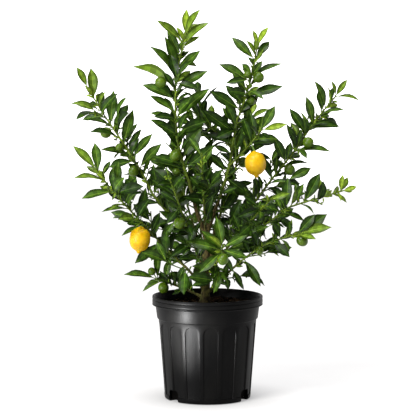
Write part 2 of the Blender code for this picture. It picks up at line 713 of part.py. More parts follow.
def build_foliage(paths: dict[str, list[Vector]], limbs: list[Shape]) -> None:
    """Every mass of foliage, grown in turns so that all share the room between them."""
    green = plain_material("leaf_green", (0.045, 0.13, 0.022), 0.45)
    skins = {"lemon": plain_material("lemon_skin", (0.85, 0.55, 0.02), 0.40),
             "lime": plain_material("lime_skin", (0.10, 0.25, 0.03), 0.40)}
    skins["small_lime"] = skins["lime"]
    crown = Crown()
    for shape in limbs:
        crown.add(shape)
    pot_block = [(0.0, 0.0), (RIM_RADIUS, 0.0), (RIM_RADIUS, POT_HEIGHT), (0.0, POT_HEIGHT)]
    crown.add(turned(pot_block, POT_SIDES))
    masses = [Mass(shoot, paths[shoot.name], crown, FIRST_SEED + index)
              for index, shoot in enumerate(SHOOTS)]
    for mass in masses:
        mass.grow_stem()
        crown.lines[mass.shoot.name] = [point for path, _, _ in mass.axes for point in path[2:]]
    crown.share_out()
    for mass in masses:
        mass.grow_twigs()
    for mass in masses:
        mass.grow_leaves()
    for mass in masses:
        mass.join(green, skins)


def main() -> None:
    """Build the pot, the potting mix, the wood and the foliage."""
    clear_scene()
    build_pot()
    build_soil()
    paths = {shoot.name: shoot_path(trunk_point(shoot.foot), *shoot[2:6]) for shoot in SHOOTS}
    limbs = build_trunk_and_boughs(paths)
    build_foliage(paths, limbs)


main()
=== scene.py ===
"""Dressed model of a young citrus tree that bears lemons and limes, in a fluted nursery pot.

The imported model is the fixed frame: metres, +Z up, the front towards -Y, and the origin in the
middle of the pot's flat underside. Azimuths turn from +X (right) towards +Y (back). The pot, the
potting mix and the limbs are modelled with Blender's own tools. The crown is grown by the seeded
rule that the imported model's masses of foliage were grown by, carried on to finer twigs and leaves.
"""
import logging
import math
import random
from collections.abc import Callable, Iterable, Sequence
from dataclasses import dataclass, field
from enum import Enum
from typing import Protocol

import bmesh
import bpy
import numpy as np
from mathutils import Matrix, Vector
from mathutils.bvhtree import BVHTree
from mathutils.kdtree import KDTree


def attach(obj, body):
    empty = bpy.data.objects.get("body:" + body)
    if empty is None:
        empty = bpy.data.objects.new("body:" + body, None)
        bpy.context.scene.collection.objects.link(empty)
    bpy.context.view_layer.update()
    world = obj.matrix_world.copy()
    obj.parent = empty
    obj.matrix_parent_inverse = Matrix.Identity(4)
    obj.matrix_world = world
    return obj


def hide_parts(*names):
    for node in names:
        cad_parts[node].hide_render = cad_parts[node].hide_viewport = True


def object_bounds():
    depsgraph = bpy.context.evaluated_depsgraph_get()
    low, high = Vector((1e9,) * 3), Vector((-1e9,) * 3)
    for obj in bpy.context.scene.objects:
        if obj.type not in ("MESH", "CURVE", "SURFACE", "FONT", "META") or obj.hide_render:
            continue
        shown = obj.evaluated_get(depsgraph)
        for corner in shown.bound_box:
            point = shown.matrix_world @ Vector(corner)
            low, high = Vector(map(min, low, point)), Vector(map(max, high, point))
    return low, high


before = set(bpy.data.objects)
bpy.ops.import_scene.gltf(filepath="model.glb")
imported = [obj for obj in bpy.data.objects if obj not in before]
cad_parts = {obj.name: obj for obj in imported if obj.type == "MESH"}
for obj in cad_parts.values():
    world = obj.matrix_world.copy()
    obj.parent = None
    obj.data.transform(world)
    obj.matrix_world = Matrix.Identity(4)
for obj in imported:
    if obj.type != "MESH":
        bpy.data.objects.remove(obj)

CAD_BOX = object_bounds()
LOG = logging.getLogger("citrus_tree")

Span = tuple[float, float]
Triple = tuple[float, float, float]
Colour = Triple
Path = list[Vector]
Faces = list[tuple[int, ...]]
Shape = tuple[Path, Faces]
Round = tuple[float, float, float, float]
Material = bpy.types.Material
Object = bpy.types.Object
Socket = bpy.types.NodeSocket

UP = Vector((0.0, 0.0, 1.0))
BODY = "root"

# Heights that several pieces share
SOIL_TOP = 0.2320
TRUNK_FORK = 0.4080

# A leaf sits this far round its stem from the last one
LEAF_TURN = 137.5


def mix(first: float, second: float, share: float) -> float:
    """The number at a share of the way from one to another."""
    return first + (second - first) * share


# ---------------------------------------------------------------- finishes


class NodeBoard:
    """A material's node tree, laid out node by node."""

    def __init__(self, name: str, colour: Colour, roughness: float, gloss: float,
                 more: dict[str, float | Colour] | None = None) -> None:
        """Start a material with its Principled shader.

        Args:
            name: The material's name.
            colour: Its base colour.
            roughness: How dull it is.
            gloss: How much light it throws back.
            more: What else is the same all over, by the shader's own socket names.
        """
        self.material = bpy.data.materials.new(name)
        self.material.use_nodes = True
        self.material.diffuse_color = (*colour, 1.0)
        self.tree = self.material.node_tree
        self.shader = self.tree.nodes["Principled BSDF"]
        self.normal: Socket | None = None
        values = {"Base Color": colour, "Roughness": roughness, "Specular IOR Level": gloss, **(more or {})}
        for socket, value in values.items():
            self.shader.inputs[socket].default_value = (*value, 1.0) if isinstance(value, tuple) else value

    def node(self, kind: str, inputs: dict[str | int, Socket | float | Triple],
             **settings: object) -> bpy.types.Node:
        """Add a shader node.

        Args:
            kind: The node's type, without its ShaderNode prefix.
            inputs: What its inputs are given: sockets, or values.
            **settings: Attributes to set on it.

        Returns:
            The new node.
        """
        made = self.tree.nodes.new("ShaderNode" + kind)
        for key, value in settings.items():
            setattr(made, key, value)
        for key, value in inputs.items():
            if isinstance(value, Socket):
                self.tree.links.new(value, made.inputs[key])
            else:
                made.inputs[key].default_value = value
        return made

    def place(self, stretch: Triple = (1.0, 1.0, 1.0)) -> Socket:
        """Object coordinates, scaled along each axis."""
        where = self.node("TexCoord", {}).outputs["Object"]
        return self.node("Mapping", {"Vector": where, "Scale": stretch}).outputs["Vector"]

    def noise(self, place: Socket, scale: float, detail: float, roughness: float = 0.5) -> Socket:
        """Fractal noise at a place, from 0 to 1."""
        inputs = {"Vector": place, "Scale": scale, "Detail": detail, "Roughness": roughness}
        return self.node("TexNoise", inputs).outputs[0]

    def cells(self, place: Socket, scale: float) -> Socket:
        """Distance from a place to the nearest of many scattered points."""
        return self.node("TexVoronoi", {"Vector": place, "Scale": scale}).outputs["Distance"]

    def height(self) -> Socket:
        """The height above the floor."""
        return self.node("SeparateXYZ", {0: self.place()}).outputs["Z"]

    def scaled(self, colour: Socket, share: Socket) -> Socket:
        """A colour times a share."""
        return self.node("VectorMath", {0: colour, "Scale": share}, operation="SCALE").outputs[0]

    def attribute(self, name: str) -> Socket:
        """A number that the mesh carries, by its name."""
        return self.node("Attribute", {}, attribute_name=name).outputs["Fac"]

    def spread(self, value: Socket, source: Span, target: Span = (0.0, 1.0)) -> Socket:
        """Carry a value from one range to another, clamped."""
        ends = dict(enumerate((*source, *target), 1))
        return self.node("MapRange", {0: value, **ends}, clamp=True).outputs[0]

    def ramp(self, value: Socket, places: Sequence[float], colours: Sequence[Colour]) -> Socket:
        """Colour a value.

        Args:
            value: The value, from 0 to 1.
            places: Places along it.
            colours: Their colours.

        Returns:
            The colour socket.
        """
        made = self.node("ValToRGB", {"Fac": value})
        elements = made.color_ramp.elements
        while len(elements) < len(places):
            elements.new(1.0)
        for element, place, colour in zip(elements, places, colours):
            element.position = place
            element.color = (*colour, 1.0)
        return made.outputs["Color"]

    def blend(self, share: Socket, first: Socket, second: Socket) -> Socket:
        """Mix two colours, by how much of the second there is."""
        return self.node("Mix", {0: share, 6: first, 7: second}, data_type="RGBA").outputs[2]

    def drive(self, value: Socket, socket: str) -> None:
        """Give one of the shader's sockets a pattern, by the socket's name."""
        self.tree.links.new(value, self.shader.inputs[socket])

    def raise_by(self, height: Socket, strength: float, distance: float) -> None:
        """Add a bump over those that the shader has.

        Args:
            height: The relief, from 0 to 1.
            strength: How strong it is.
            distance: Its depth in metres.
        """
        inputs = {"Strength": strength, "Distance": distance, "Height": height}
        if self.normal is not None:
            inputs["Normal"] = self.normal
        self.normal = self.node("Bump", inputs).outputs["Normal"]
        self.drive(self.normal, "Normal")


class Finish(Protocol):
    """What a piece may wear."""

    def material(self) -> Material:
        """Make the material."""


@dataclass(frozen=True)
class WaxFinish:
    """A plain plant colour under a waxy gloss, for leaves, stalks and calyces.

    Attributes:
        name: The material's name.
        colour: The base colour.
        roughness: How dull the surface is.
        gloss: How much light its wax throws back.
    """
    name: str
    colour: Colour
    roughness: float = 0.42
    gloss: float = 0.10

    def material(self) -> Material:
        """Make the material."""
        return NodeBoard(self.name, self.colour, self.roughness, self.gloss).material


@dataclass(frozen=True)
class BarkFinish:
    """Bark that runs from green young stems to brown, fissured wood by the mesh's age number.

    Attributes:
        name: The material's name.
        young: Greens of a young stem, dark and light.
        ripening: Olives of a stem that starts to turn.
        old: Browns of old wood, dark, middle and light.
        shaded: The heights between which the wood comes out of the crown's shade.
        streaks: The streaks' density, octaves and roughness.
    """
    name: str = "ageing_bark"
    young: tuple[Colour, Colour] = ((0.034, 0.062, 0.004), (0.120, 0.172, 0.014))
    ripening: tuple[Colour, Colour] = ((0.026, 0.032, 0.005), (0.082, 0.080, 0.016))
    old: tuple[Colour, Colour, Colour] = ((0.009, 0.006, 0.002), (0.034, 0.026, 0.008), (0.090, 0.070, 0.022))
    shaded: Span = (0.26, 0.42)
    streaks: Triple = (420.0, 5.0, 0.62)

    def material(self) -> Material:
        """Make the material.

        Returns:
            The material.
        """
        board = NodeBoard(self.name, self.old[1], 0.7, 0.12)
        age = board.attribute("age")
        streaks = board.noise(board.place((1.0, 1.0, 0.28)), *self.streaks)
        young = board.ramp(streaks, (0.38, 0.62), self.young)
        ripening = board.ramp(streaks, (0.36, 0.64), self.ripening)
        # Painted shade: the old wood is half as bright up to 26 cm and full bright from 42 cm up
        old = board.scaled(board.ramp(streaks, (0.34, 0.5, 0.66), self.old),
                           board.spread(board.height(), self.shaded, (0.5, 1.0)))
        half = board.blend(board.spread(age, (0.10, 0.50)), young, ripening)
        board.drive(board.blend(board.spread(age, (0.50, 0.90)), half, old), "Base Color")
        board.drive(board.spread(age, (0.0, 0.8), (0.42, 0.88)), "Roughness")
        board.raise_by(streaks, 0.55, 0.0006)
        board.raise_by(board.noise(board.place(), 900.0, 2.0), 0.25, 0.0002)
        return board.material


@dataclass(frozen=True)
class MouldedPlasticFinish:
    """Satin black plastic with a fine mould grain and a breath of dust.

    Attributes:
        name: The material's name.
        black: The plastic's own colour.
        dusty: Its colour where dust has settled.
    """
    name: str = "black_moulded_plastic"
    black: Colour = (0.0014, 0.0014, 0.0015)
    dusty: Colour = (0.0030, 0.0029, 0.0027)

    def material(self) -> Material:
        """Make the material.

        Returns:
            The material.
        """
        board = NodeBoard(self.name, self.black, 0.42, 0.062)
        patches = board.noise(board.place((1.0, 1.0, 0.5)), 16.0, 4.0, 0.6)
        board.drive(board.ramp(patches, (0.42, 0.72), (self.black, self.dusty)), "Base Color")
        board.drive(board.spread(patches, (0.3, 0.7), (0.36, 0.46)), "Roughness")
        board.raise_by(board.noise(board.place(), 1500.0, 2.0), 0.22, 0.00012)
        return board.material


@dataclass(frozen=True)
class CitrusSkinFinish:
    """Citrus skin: mottled, pitted with oil glands, and a little translucent.

    Attributes:
        name: The material's name.
        tones: The skin's colours, from dark to light.
        glands: The density of the oil glands, and how deep they are.
        roughness: The skin's roughness, at least and at most.
    """
    name: str
    tones: tuple[Colour, Colour, Colour]
    glands: Span
    roughness: Span

    def material(self) -> Material:
        """Make the material.

        Returns:
            The material.
        """
        board = NodeBoard(self.name, self.tones[1], 0.5, 0.22,
                          {"Subsurface Weight": 0.12, "Subsurface Scale": 0.004})
        density, depth = self.glands
        mottle = board.noise(board.place(), 55.0, 4.0, 0.6)
        board.drive(board.ramp(mottle, (0.30, 0.52, 0.72), self.tones), "Base Color")
        board.drive(board.spread(mottle, (0.3, 0.7), self.roughness), "Roughness")
        board.raise_by(board.spread(board.cells(board.place(), density), (0.0, 0.45)), 0.35, depth)
        board.raise_by(board.noise(board.place(), 90.0, 2.0), 0.25, 0.0008)
        return board.material


@dataclass(frozen=True)
class EarthFinish:
    """Damp potting mix or a piece of bark in it, with a painted shade that darkens it where it lies deep in
    the pot.

    Attributes:
        name: The material's name.
        grain: The density of its pattern.
        tones: Its colours, from dark to light.
    """
    name: str
    grain: float
    tones: tuple[Colour, Colour, Colour]

    def material(self) -> Material:
        """Make the material.

        Returns:
            The material.
        """
        board = NodeBoard(self.name, self.tones[1], 0.93, 0.04)
        crumbs = board.noise(board.place(), self.grain, 6.0, 0.7)
        # Painted shade: the colour falls to a tenth from 8 cm down to 5 cm above the floor
        shade = board.spread(board.height(), (0.05, 0.08), (0.1, 1.0))
        board.drive(board.scaled(board.ramp(crumbs, (0.35, 0.5, 0.66), self.tones), shade), "Base Color")
        board.raise_by(crumbs, 0.8, 0.0015)
        return board.material


@dataclass(frozen=True)
class PaperFinish:
    """The studio's matt white paper.

    Attributes:
        name: The material's name.
        glow: How far light from beneath keeps its shadows pale.
        colour: The paper's colour.
        contact: How far round what stands on it the paper is in its shade.
        shaded_glow: What is left of the glow in that shade, as a share.
    """
    name: str
    glow: float
    colour: Colour = (0.92, 0.915, 0.915)
    contact: float = 0.0
    shaded_glow: float = 0.42

    def material(self) -> Material:
        """Make the material.

        Returns:
            The material.
        """
        board = NodeBoard(self.name, self.colour, 0.9, 0.0,
                          {"Emission Strength": self.glow, "Emission Color": (1.0, 0.993, 0.995)})
        if self.contact:
            # Painted contact shadow: the paper's glow drops where ambient occlusion finds something close
            open_share = board.node("AmbientOcclusion", {"Distance": self.contact}, samples=24).outputs["AO"]
            glow = board.spread(open_share, (0.40, 1.0), (self.glow * self.shaded_glow, self.glow))
            board.drive(glow, "Emission Strength")
        return board.material


class LeafTone(Enum):
    """A leaf's age by its colours: upper face, underside, and midrib."""
    DEEP = ((0.0082, 0.0226, 0.0018), (0.0392, 0.0688, 0.0098), (0.0436, 0.0860, 0.0090))
    DARK = ((0.0142, 0.0365, 0.0028), (0.0523, 0.0903, 0.0131), (0.0741, 0.1344, 0.0131))
    FULL = ((0.0273, 0.0624, 0.0046), (0.0763, 0.1268, 0.0164), (0.1199, 0.1935, 0.0197))
    FRESH = ((0.0654, 0.1139, 0.0078), (0.1199, 0.1827, 0.0230), (0.1853, 0.2687, 0.0295))
    TENDER = ((0.1199, 0.1827, 0.0115), (0.1635, 0.2419, 0.0271), (0.2398, 0.3332, 0.0377))

    @property
    def label(self) -> str:
        """The tone's name in lower case."""
        return self.name.lower()

    def finishes(self) -> list[WaxFinish]:
        """What a leaf wears: upper face, underside, midrib, a darker edge that is painted shade, and lighter
        bands between veins that are partly a painted sheen.

        Returns:
            The finishes, by their numbers on a leaf.
        """
        blade, under, rib = self.value
        # Painted shade on the blade's edge strips at 0.6 of its colour; the vein bands at 1.5 times are a
        # vein pattern and partly a painted sheen
        margin, between = (tuple(channel * share for channel in blade) for share in (0.60, 1.5))
        looks = (("leaf", blade, 0.38, 0.11), ("underside", under, 0.60, 0.05), ("midrib", rib, 0.42, 0.08),
                 ("margin", margin, 0.36, 0.11), ("between_veins", between, 0.38, 0.11))
        return [WaxFinish(f"{name}_{self.label}", *look) for name, *look in looks]


class FruitKind(Enum):
    """A kind of fruit: its radius across, and half its length."""
    LEMON = (0.0258, 0.0346)
    LIME = (0.0140, 0.0148)
    SMALL_LIME = (0.0100, 0.0104)


# ---------------------------------------------------------------- tools


def only(piece: Object | None = None) -> None:
    """Leave edit mode and deselect all, then select one object alone.

    Args:
        piece: The object, or None where nothing is to be selected.
    """
    if bpy.context.mode != "OBJECT":
        bpy.ops.object.mode_set(mode="OBJECT")
    bpy.ops.object.select_all(action="DESELECT")
    if piece is not None:
        piece.select_set(True)
        bpy.context.view_layer.objects.active = piece


def link_new(name: str, data: bpy.types.ID) -> Object:
    """Put new data into the scene as an object.

    Args:
        name: The object's name.
        data: The data.

    Returns:
        The object.
    """
    made = bpy.data.objects.new(name, data)
    bpy.context.scene.collection.objects.link(made)
    return made


def start(name: str, add: Callable[..., set[str]], **settings: object) -> Object:
    """Add a primitive, apply its place, and open it in edit mode.

    Args:
        name: The new object's name.
        add: The operator that adds it.
        **settings: The operator's settings.

    Returns:
        The new object, in edit mode and selected all over.
    """
    only()
    add(**settings)
    piece = bpy.context.object
    piece.name = piece.data.name = name
    bpy.ops.object.transform_apply(location=True, rotation=True, scale=True)
    bpy.ops.object.mode_set(mode="EDIT")
    bpy.ops.mesh.select_all(action="SELECT")
    return piece


def face_outwards() -> None:
    """Turn all faces outwards, in edit mode."""
    bpy.ops.mesh.select_all(action="SELECT")
    bpy.ops.mesh.normals_make_consistent(inside=False)


def pick(kind: str, test: Callable[[Vector, Vector], bool]) -> None:
    """Select, in edit mode, the faces or edges that pass a test, and no others.

    Args:
        kind: FACE, which is tested by its middle and normal, or EDGE, by its two ends.
        test: The test.
    """
    mesh = bpy.context.object.data
    bpy.ops.mesh.select_mode(type=kind)
    bpy.ops.mesh.select_all(action="DESELECT")
    shell = bmesh.from_edit_mesh(mesh)
    if kind == "FACE":
        for face in shell.faces:
            face.select_set(test(face.calc_center_median(), face.normal))
    else:
        for edge in shell.edges:
            edge.select_set(test(edge.verts[0].co, edge.verts[1].co))
    bmesh.update_edit_mesh(mesh)


def pull_ring(move: Vector | Triple, ratio: float | Triple, centre: Vector | Triple) -> None:
    """Extrude the selected ring and resize it.

    Args:
        move: How far the new ring is from the last.
        ratio: Its size beside the last one's, on all axes or on each.
        centre: The new ring's middle.
    """
    sizes = ratio if isinstance(ratio, tuple) else (ratio, ratio, ratio)
    bpy.ops.mesh.extrude_region_move(TRANSFORM_OT_translate={"value": tuple(move)})
    bpy.ops.transform.resize(value=sizes, center_override=tuple(centre))


def add_modifier(piece: Object, kind: str, **settings: object) -> None:
    """Give an object a modifier and apply it.

    Args:
        piece: The object.
        kind: The modifier's type.
        **settings: Its attributes.
    """
    only(piece)
    modifier = piece.modifiers.new(kind.lower(), kind)
    for key, value in settings.items():
        setattr(modifier, key, value)
    bpy.ops.object.modifier_apply(modifier=modifier.name)


def add_relief(piece: Object, name: str, size: float, strength: float, octaves: int = 2,
               **settings: object) -> None:
    """Press a cloudy relief into a piece.

    Args:
        piece: The piece.
        name: The relief's name.
        size: How large its swells are.
        strength: How high they are.
        octaves: How many sizes of swells there are.
        **settings: What else the modifier is given.
    """
    clouds = bpy.data.textures.new(name, "CLOUDS")
    clouds.noise_scale = size
    clouds.noise_depth = octaves
    add_modifier(piece, "DISPLACE", texture=clouds, texture_coords="LOCAL", strength=strength,
                 mid_level=0.5, **settings)


def shade(piece: Object, degrees: float) -> None:
    """Shade a piece smooth, but for edges sharper than an angle in degrees."""
    only(piece)
    bpy.ops.object.shade_smooth_by_angle(angle=math.radians(degrees))


def join_pieces(name: str, pieces: list[Object]) -> Object:
    """Join objects to one.

    Args:
        name: The joined object's name.
        pieces: The objects.

    Returns:
        The joined object.
    """
    only(pieces[0])
    for piece in pieces:
        piece.select_set(True)
    bpy.ops.object.join()
    joined = bpy.context.object
    joined.name = joined.data.name = name
    return joined


def dress(piece: Object, finishes: Iterable[Finish], slot: str, *nodes: str) -> None:
    """Give a finished piece its finishes, and tie it to the frame.

    Args:
        piece: The piece.
        finishes: Its finishes, in the order of its faces' numbers.
        slot: Not used.
        *nodes: The frame's nodes that it stands for.
    """
    numbers = np.zeros(len(piece.data.polygons), dtype=np.int32)
    piece.data.polygons.foreach_get("material_index", numbers)
    piece.data.materials.clear()
    for finish in finishes:
        piece.data.materials.append(finish.material())
    piece.data.polygons.foreach_set("material_index", numbers)
    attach(piece, BODY)
    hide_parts(*nodes)
    LOG.info("%s: %d faces", piece.name, len(piece.data.polygons))


def circle(middle: Vector, side: Vector, other: Vector, radius: float, count: int) -> Path:
    """Points evenly round a middle, in the plane of two directions."""
    angles = (math.tau * step / count for step in range(count))
    return [middle + radius * (math.cos(angle) * side + math.sin(angle) * other) for angle in angles]


def tube(points: Sequence[Vector], radii: Sequence[float], sides: int) -> Shape:
    """Sweep a round section along a path, and close its ends.

    Args:
        points: The path.
        radii: The radius at each point.
        sides: How many sides the section has.

    Returns:
        The tube's corners and faces.
    """
    tangents = [points[1] - points[0]]
    tangents += [points[i + 1] - points[i - 1] for i in range(1, len(points) - 1)]
    tangents.append(points[-1] - points[-2])
    across = tangents[0].cross(Vector((0.0, 1.0, 0.3))).normalized()
    corners: Path = []
    for point, tangent, radius in zip(points, tangents, radii):
        along = tangent.normalized()
        across = (across - along * across.dot(along)).normalized()
        corners += circle(point, across, along.cross(across), radius, sides)
    last = len(corners) - sides
    faces: Faces = [tuple(range(sides))[::-1], tuple(range(last, last + sides))]
    for low in range(0, last, sides):
        for side in range(sides):
            after = (side + 1) % sides
            faces.append((low + side, low + after, low + sides + after, low + sides + side))
    return corners, faces


def spindle(pole: Vector, other_pole: Vector, rim: Path) -> Shape:
    """A closed shape of two flat cones on one rim.

    Args:
        pole: The first cone's tip, from which the rim runs anticlockwise seen from outside.
        other_pole: The second cone's tip.
        rim: The rim.

    Returns:
        Its corners and faces.
    """
    after = [2 + (step + 1) % len(rim) for step in range(len(rim))]
    faces = [(0, 2 + step, later) for step, later in enumerate(after)]
    return [pole, other_pole, *rim], faces + [(1, later, 2 + step) for step, later in enumerate(after)]


class MeshPile:
    """Many small shapes of one kind that become one joined mesh."""

    def __init__(self) -> None:
        """Start with nothing."""
        self.corners: list[np.ndarray] = []
        self.faces: Faces = []
        self.slots: list[int] = []
        self.ages: list[float] = []
        self.count = 0

    def add(self, corners: Sequence[Vector] | np.ndarray, faces: Iterable[tuple[int, ...]],
            slots: int | Sequence[int] = 0, ages: Iterable[float] | None = None) -> None:
        """Add one shape.

        Args:
            corners: Its corners.
            faces: Its faces, by its own corners' numbers.
            slots: The material of each face, or of all of them.
            ages: The bark's age at each corner.
        """
        faces = [tuple(self.count + corner for corner in face) for face in faces]
        self.corners.append(np.array(corners))
        self.faces += faces
        self.slots += [slots] * len(faces) if isinstance(slots, int) else slots
        self.ages += ages if ages is not None else [0.0] * len(corners)
        self.count += len(corners)

    def build(self, name: str, sharp_degrees: float) -> Object:
        """Make the joined object, shaded smooth.

        Args:
            name: The object's name.
            sharp_degrees: Edges sharper than this stay sharp.

        Returns:
            The object.
        """
        mesh = bpy.data.meshes.new(name)
        mesh.from_pydata(np.concatenate(self.corners), [], self.faces)
        mesh.polygons.foreach_set("material_index", self.slots)
        mesh.attributes.new("age", "FLOAT", "POINT").data.foreach_set("value", self.ages)
        mesh.shade_smooth()
        mesh.set_sharp_from_angle(angle=math.radians(sharp_degrees))
        mesh.update()
        return link_new(name, mesh)


def point_tree(points: Sequence[Vector]) -> KDTree:
    """A tree that finds the points nearest to a place.

    Args:
        points: The points.

    Returns:
        The tree.
    """
    tree = KDTree(len(points))
    for index, point in enumerate(points):
        tree.insert(point, index)
    tree.balance()
    return tree


# ---------------------------------------------------------------- how the crown is laid out


@dataclass(frozen=True)
class FruitSpot:
    """A fruit on a leafy stem.

    Attributes:
        kind: What it is.
        along: How far along the stem it hangs.
        hang: Its middle, from the stem there.
    """
    kind: FruitKind
    along: float
    hang: Triple


@dataclass(frozen=True)
class SideShoot:
    """A named side shoot of a stem.

    Attributes:
        along: How far along the stem it leaves.
        azimuth: Its direction.
        rise: Its angle above level at its foot.
        tip_rise: The same at its tip.
        length: Its length.
        in_view: The stretch of it that nothing hides in the photograph.
        fruit: What hangs on it.
    """
    along: float
    azimuth: float
    rise: float
    tip_rise: float
    length: float
    in_view: tuple[float, ...] = ()
    fruit: tuple[FruitSpot, ...] = ()


@dataclass(frozen=True)
class Shoot:
    """A bough with the leafy stem that it carries.

    Attributes:
        name: Its name, as the frame's nodes have it.
        foot: The height on the trunk that it leaves at.
        azimuth: Its direction.
        rise: Its angle above level at its foot.
        tip_rise: The same at its tip.
        length: Its length.
        bare: How much of it is a bare bough.
        radius: Its radius at its foot.
        sides: Its named side shoots.
        fruit: What hangs on it.
        woody: How brown its foot is, up to 1.
        fresh: How much younger its leaves look than others.
        bends: How far its stem is pushed right and up at distances past the bough.
        in_view: The stretch of it that nothing hides in the photograph.
    """
    name: str
    foot: float
    azimuth: float
    rise: float
    tip_rise: float
    length: float
    bare: float
    radius: float
    sides: tuple[SideShoot, ...] = ()
    fruit: tuple[FruitSpot, ...] = ()
    woody: float = 0.72
    fresh: float = 0.0
    bends: tuple[Triple, ...] = ()
    in_view: tuple[float, ...] = ()

    def push(self, distance: float) -> Vector:
        """How far the stem is pushed aside at a distance from its foot.

        Args:
            distance: The distance.

        Returns:
            The push.
        """
        nodes = ((self.bare, 0.0, 0.0), *self.bends)
        before = max((node for node in nodes if node[0] <= distance), default=nodes[0])
        after = min((node for node in nodes if node[0] > distance), default=before)
        share = (distance - before[0]) / (after[0] - before[0]) if after[0] > before[0] else 0.0
        right, up = (mix(before[axis], after[axis], max(0.0, share)) for axis in (1, 2))
        return Vector((right, 0.0, up))


LEMON, LIME, SMALL = FruitKind.LEMON, FruitKind.LIME, FruitKind.SMALL_LIME

SHOOTS = (
    Shoot("left_low", 0.268, 202, 51, 47.4, 0.412, 0.068, 0.0045, in_view=(0.06, 0.36),
          bends=((0.1, -0.0062, 0), (0.15, -0.0124, 0), (0.2, -0.0174, 0), (0.3, -0.0234, 0),
                 (0.35, -0.0232, 0), (0.412, -0.0162, 0)),
          fruit=(FruitSpot(LEMON, 0.238, (-0.008, -0.014, -0.037)),)),
    Shoot("left_high", 0.354, 165, 50, 57, 0.523, 0.080, 0.0050, in_view=(0.18, 0.44),
          bends=((0.1, -0.0025, 0), (0.15, -0.0137, 0), (0.2, -0.0162, 0), (0.25, -0.0062, 0),
                 (0.3, -0.0025, 0), (0.35, 0, 0), (0.45, -0.002, 0), (0.523, 0, 0)),
          fruit=(FruitSpot(LIME, 0.288, (-0.010, -0.008, -0.011)),
                 FruitSpot(SMALL, 0.354, (-0.011, -0.009, -0.007)),
                 FruitSpot(LIME, 0.402, (-0.018, -0.006, -0.010)))),
    Shoot("left_leader", TRUNK_FORK, 190, 66, 103, 0.520, 0.070, 0.0060, woody=1.0, in_view=(0.02, 0.36),
          bends=((0.1, 0.0037, 0), (0.15, 0.0025, 0), (0.2, -0.0037, 0), (0.25, -0.0075, 0),
                 (0.35, -0.0067, 0), (0.4, -0.009, 0), (0.45, -0.0025, 0), (0.52, 0.0017, 0)),
          fruit=(FruitSpot(SMALL, 0.175, (-0.021, -0.010, -0.007)),
                 FruitSpot(LIME, 0.224, (-0.010, -0.014, -0.013)),
                 FruitSpot(LIME, 0.400, (-0.036, -0.012, -0.007)))),
    Shoot("right_leader", TRUNK_FORK, 20, 68, 76.4, 0.497, 0.070, 0.0060, woody=1.0, in_view=(0.02, 0.30),
          bends=((0.15, 0, 0), (0.2, -0.0037, 0), (0.25, -0.0112, 0), (0.3, -0.0174, 0),
                 (0.35, -0.0124, 0), (0.4, -0.01, 0), (0.45, -0.0107, 0), (0.497, -0.0149, 0)),
          sides=(SideShoot(0.182, 325, 40, 47, 0.135, in_view=(0.012, 0.108),
                           fruit=(FruitSpot(LEMON, 0.090, (0.010, -0.012, -0.052)),)),
                 SideShoot(0.225, 160, 47, 35, 0.145)),
          fruit=(FruitSpot(SMALL, 0.350, (0.018, -0.010, 0.0)),
                 FruitSpot(LIME, 0.418, (0.016, -0.010, -0.006)),
                 FruitSpot(SMALL, 0.425, (-0.012, -0.010, -0.006)))),
    Shoot("right_high", 0.341, 12, 53, 51, 0.522, 0.085, 0.0050, in_view=(0.20, 0.50),
          bends=((0.15, 0.005, 0), (0.2, 0.01, 0), (0.25, 0.0087, 0), (0.3, 0.0112, 0),
                 (0.35, 0.0124, 0), (0.4, 0.0087, 0), (0.45, 0.0062, 0), (0.522, 0.0095, 0)),
          fruit=(FruitSpot(LIME, 0.312, (0.014, -0.008, -0.013)),
                 FruitSpot(LIME, 0.394, (0.012, -0.014, -0.010)))),
    Shoot("right_middle", 0.326, 345, 42, 16, 0.398, 0.075, 0.0045, fresh=0.15,
          bends=((0.15, 0, 0.0025), (0.2, 0, 0.005), (0.25, 0, 0.0174), (0.3, 0, 0.0124),
                 (0.35, 0, 0.009), (0.398, 0, 0.0095))),
    Shoot("right_low", 0.258, 330, 46, 15.5, 0.305, 0.062, 0.0042, in_view=(0.10, 0.29),
          bends=((0.1, 0, 0.0037), (0.15, 0, 0.01), (0.2, 0, 0.0149), (0.25, 0, 0.0137), (0.305, 0, 0.0124)),
          fruit=(FruitSpot(SMALL, 0.202, (-0.002, -0.010, -0.007)),
                 FruitSpot(LIME, 0.300, (0.021, -0.006, -0.013)))),
    Shoot("left_lowest", 0.250, 168, 24, 15.4, 0.136, 0.042, 0.0034,
          fruit=(FruitSpot(LIME, 0.114, (0.000, -0.010, -0.015)),
                 FruitSpot(SMALL, 0.130, (-0.014, -0.006, 0.021)))),
    Shoot("front_low", 0.283, 286, 30, 44, 0.185, 0.050, 0.0036, fresh=0.12,
          fruit=(FruitSpot(LIME, 0.172, (0.003, -0.016, -0.020)),)),
    Shoot("front_left", 0.300, 246, 50, 52, 0.360, 0.065, 0.0042, fresh=-0.32,
          fruit=(FruitSpot(LIME, 0.220, (-0.008, -0.010, -0.018)),)),
    Shoot("front_right", 0.312, 311, 43, 38, 0.315, 0.065, 0.0042, fresh=-0.32),
    Shoot("front_high", 0.384, 264, 60, 70.4, 0.260, 0.060, 0.0042, fresh=-0.32),
    Shoot("back_left", 0.335, 125, 56, 68, 0.330, 0.065, 0.0044,
          fruit=(FruitSpot(LIME, 0.210, (-0.008, 0.014, -0.016)),)),
    Shoot("back_right", 0.362, 60, 52, 60, 0.400, 0.070, 0.0046,
          fruit=(FruitSpot(LIME, 0.285, (0.012, 0.010, -0.014)),)),
    Shoot("back_low", 0.292, 96, 38, 42, 0.335, 0.062, 0.0042,
          fruit=(FruitSpot(LIME, 0.255, (-0.006, 0.008, -0.020)),)),
    Shoot("back_high", 0.390, 84, 64, 74, 0.310, 0.060, 0.0042),
)

FOLIAGE_NODES = tuple(f"foliage_{shoot.name}" for shoot in SHOOTS)


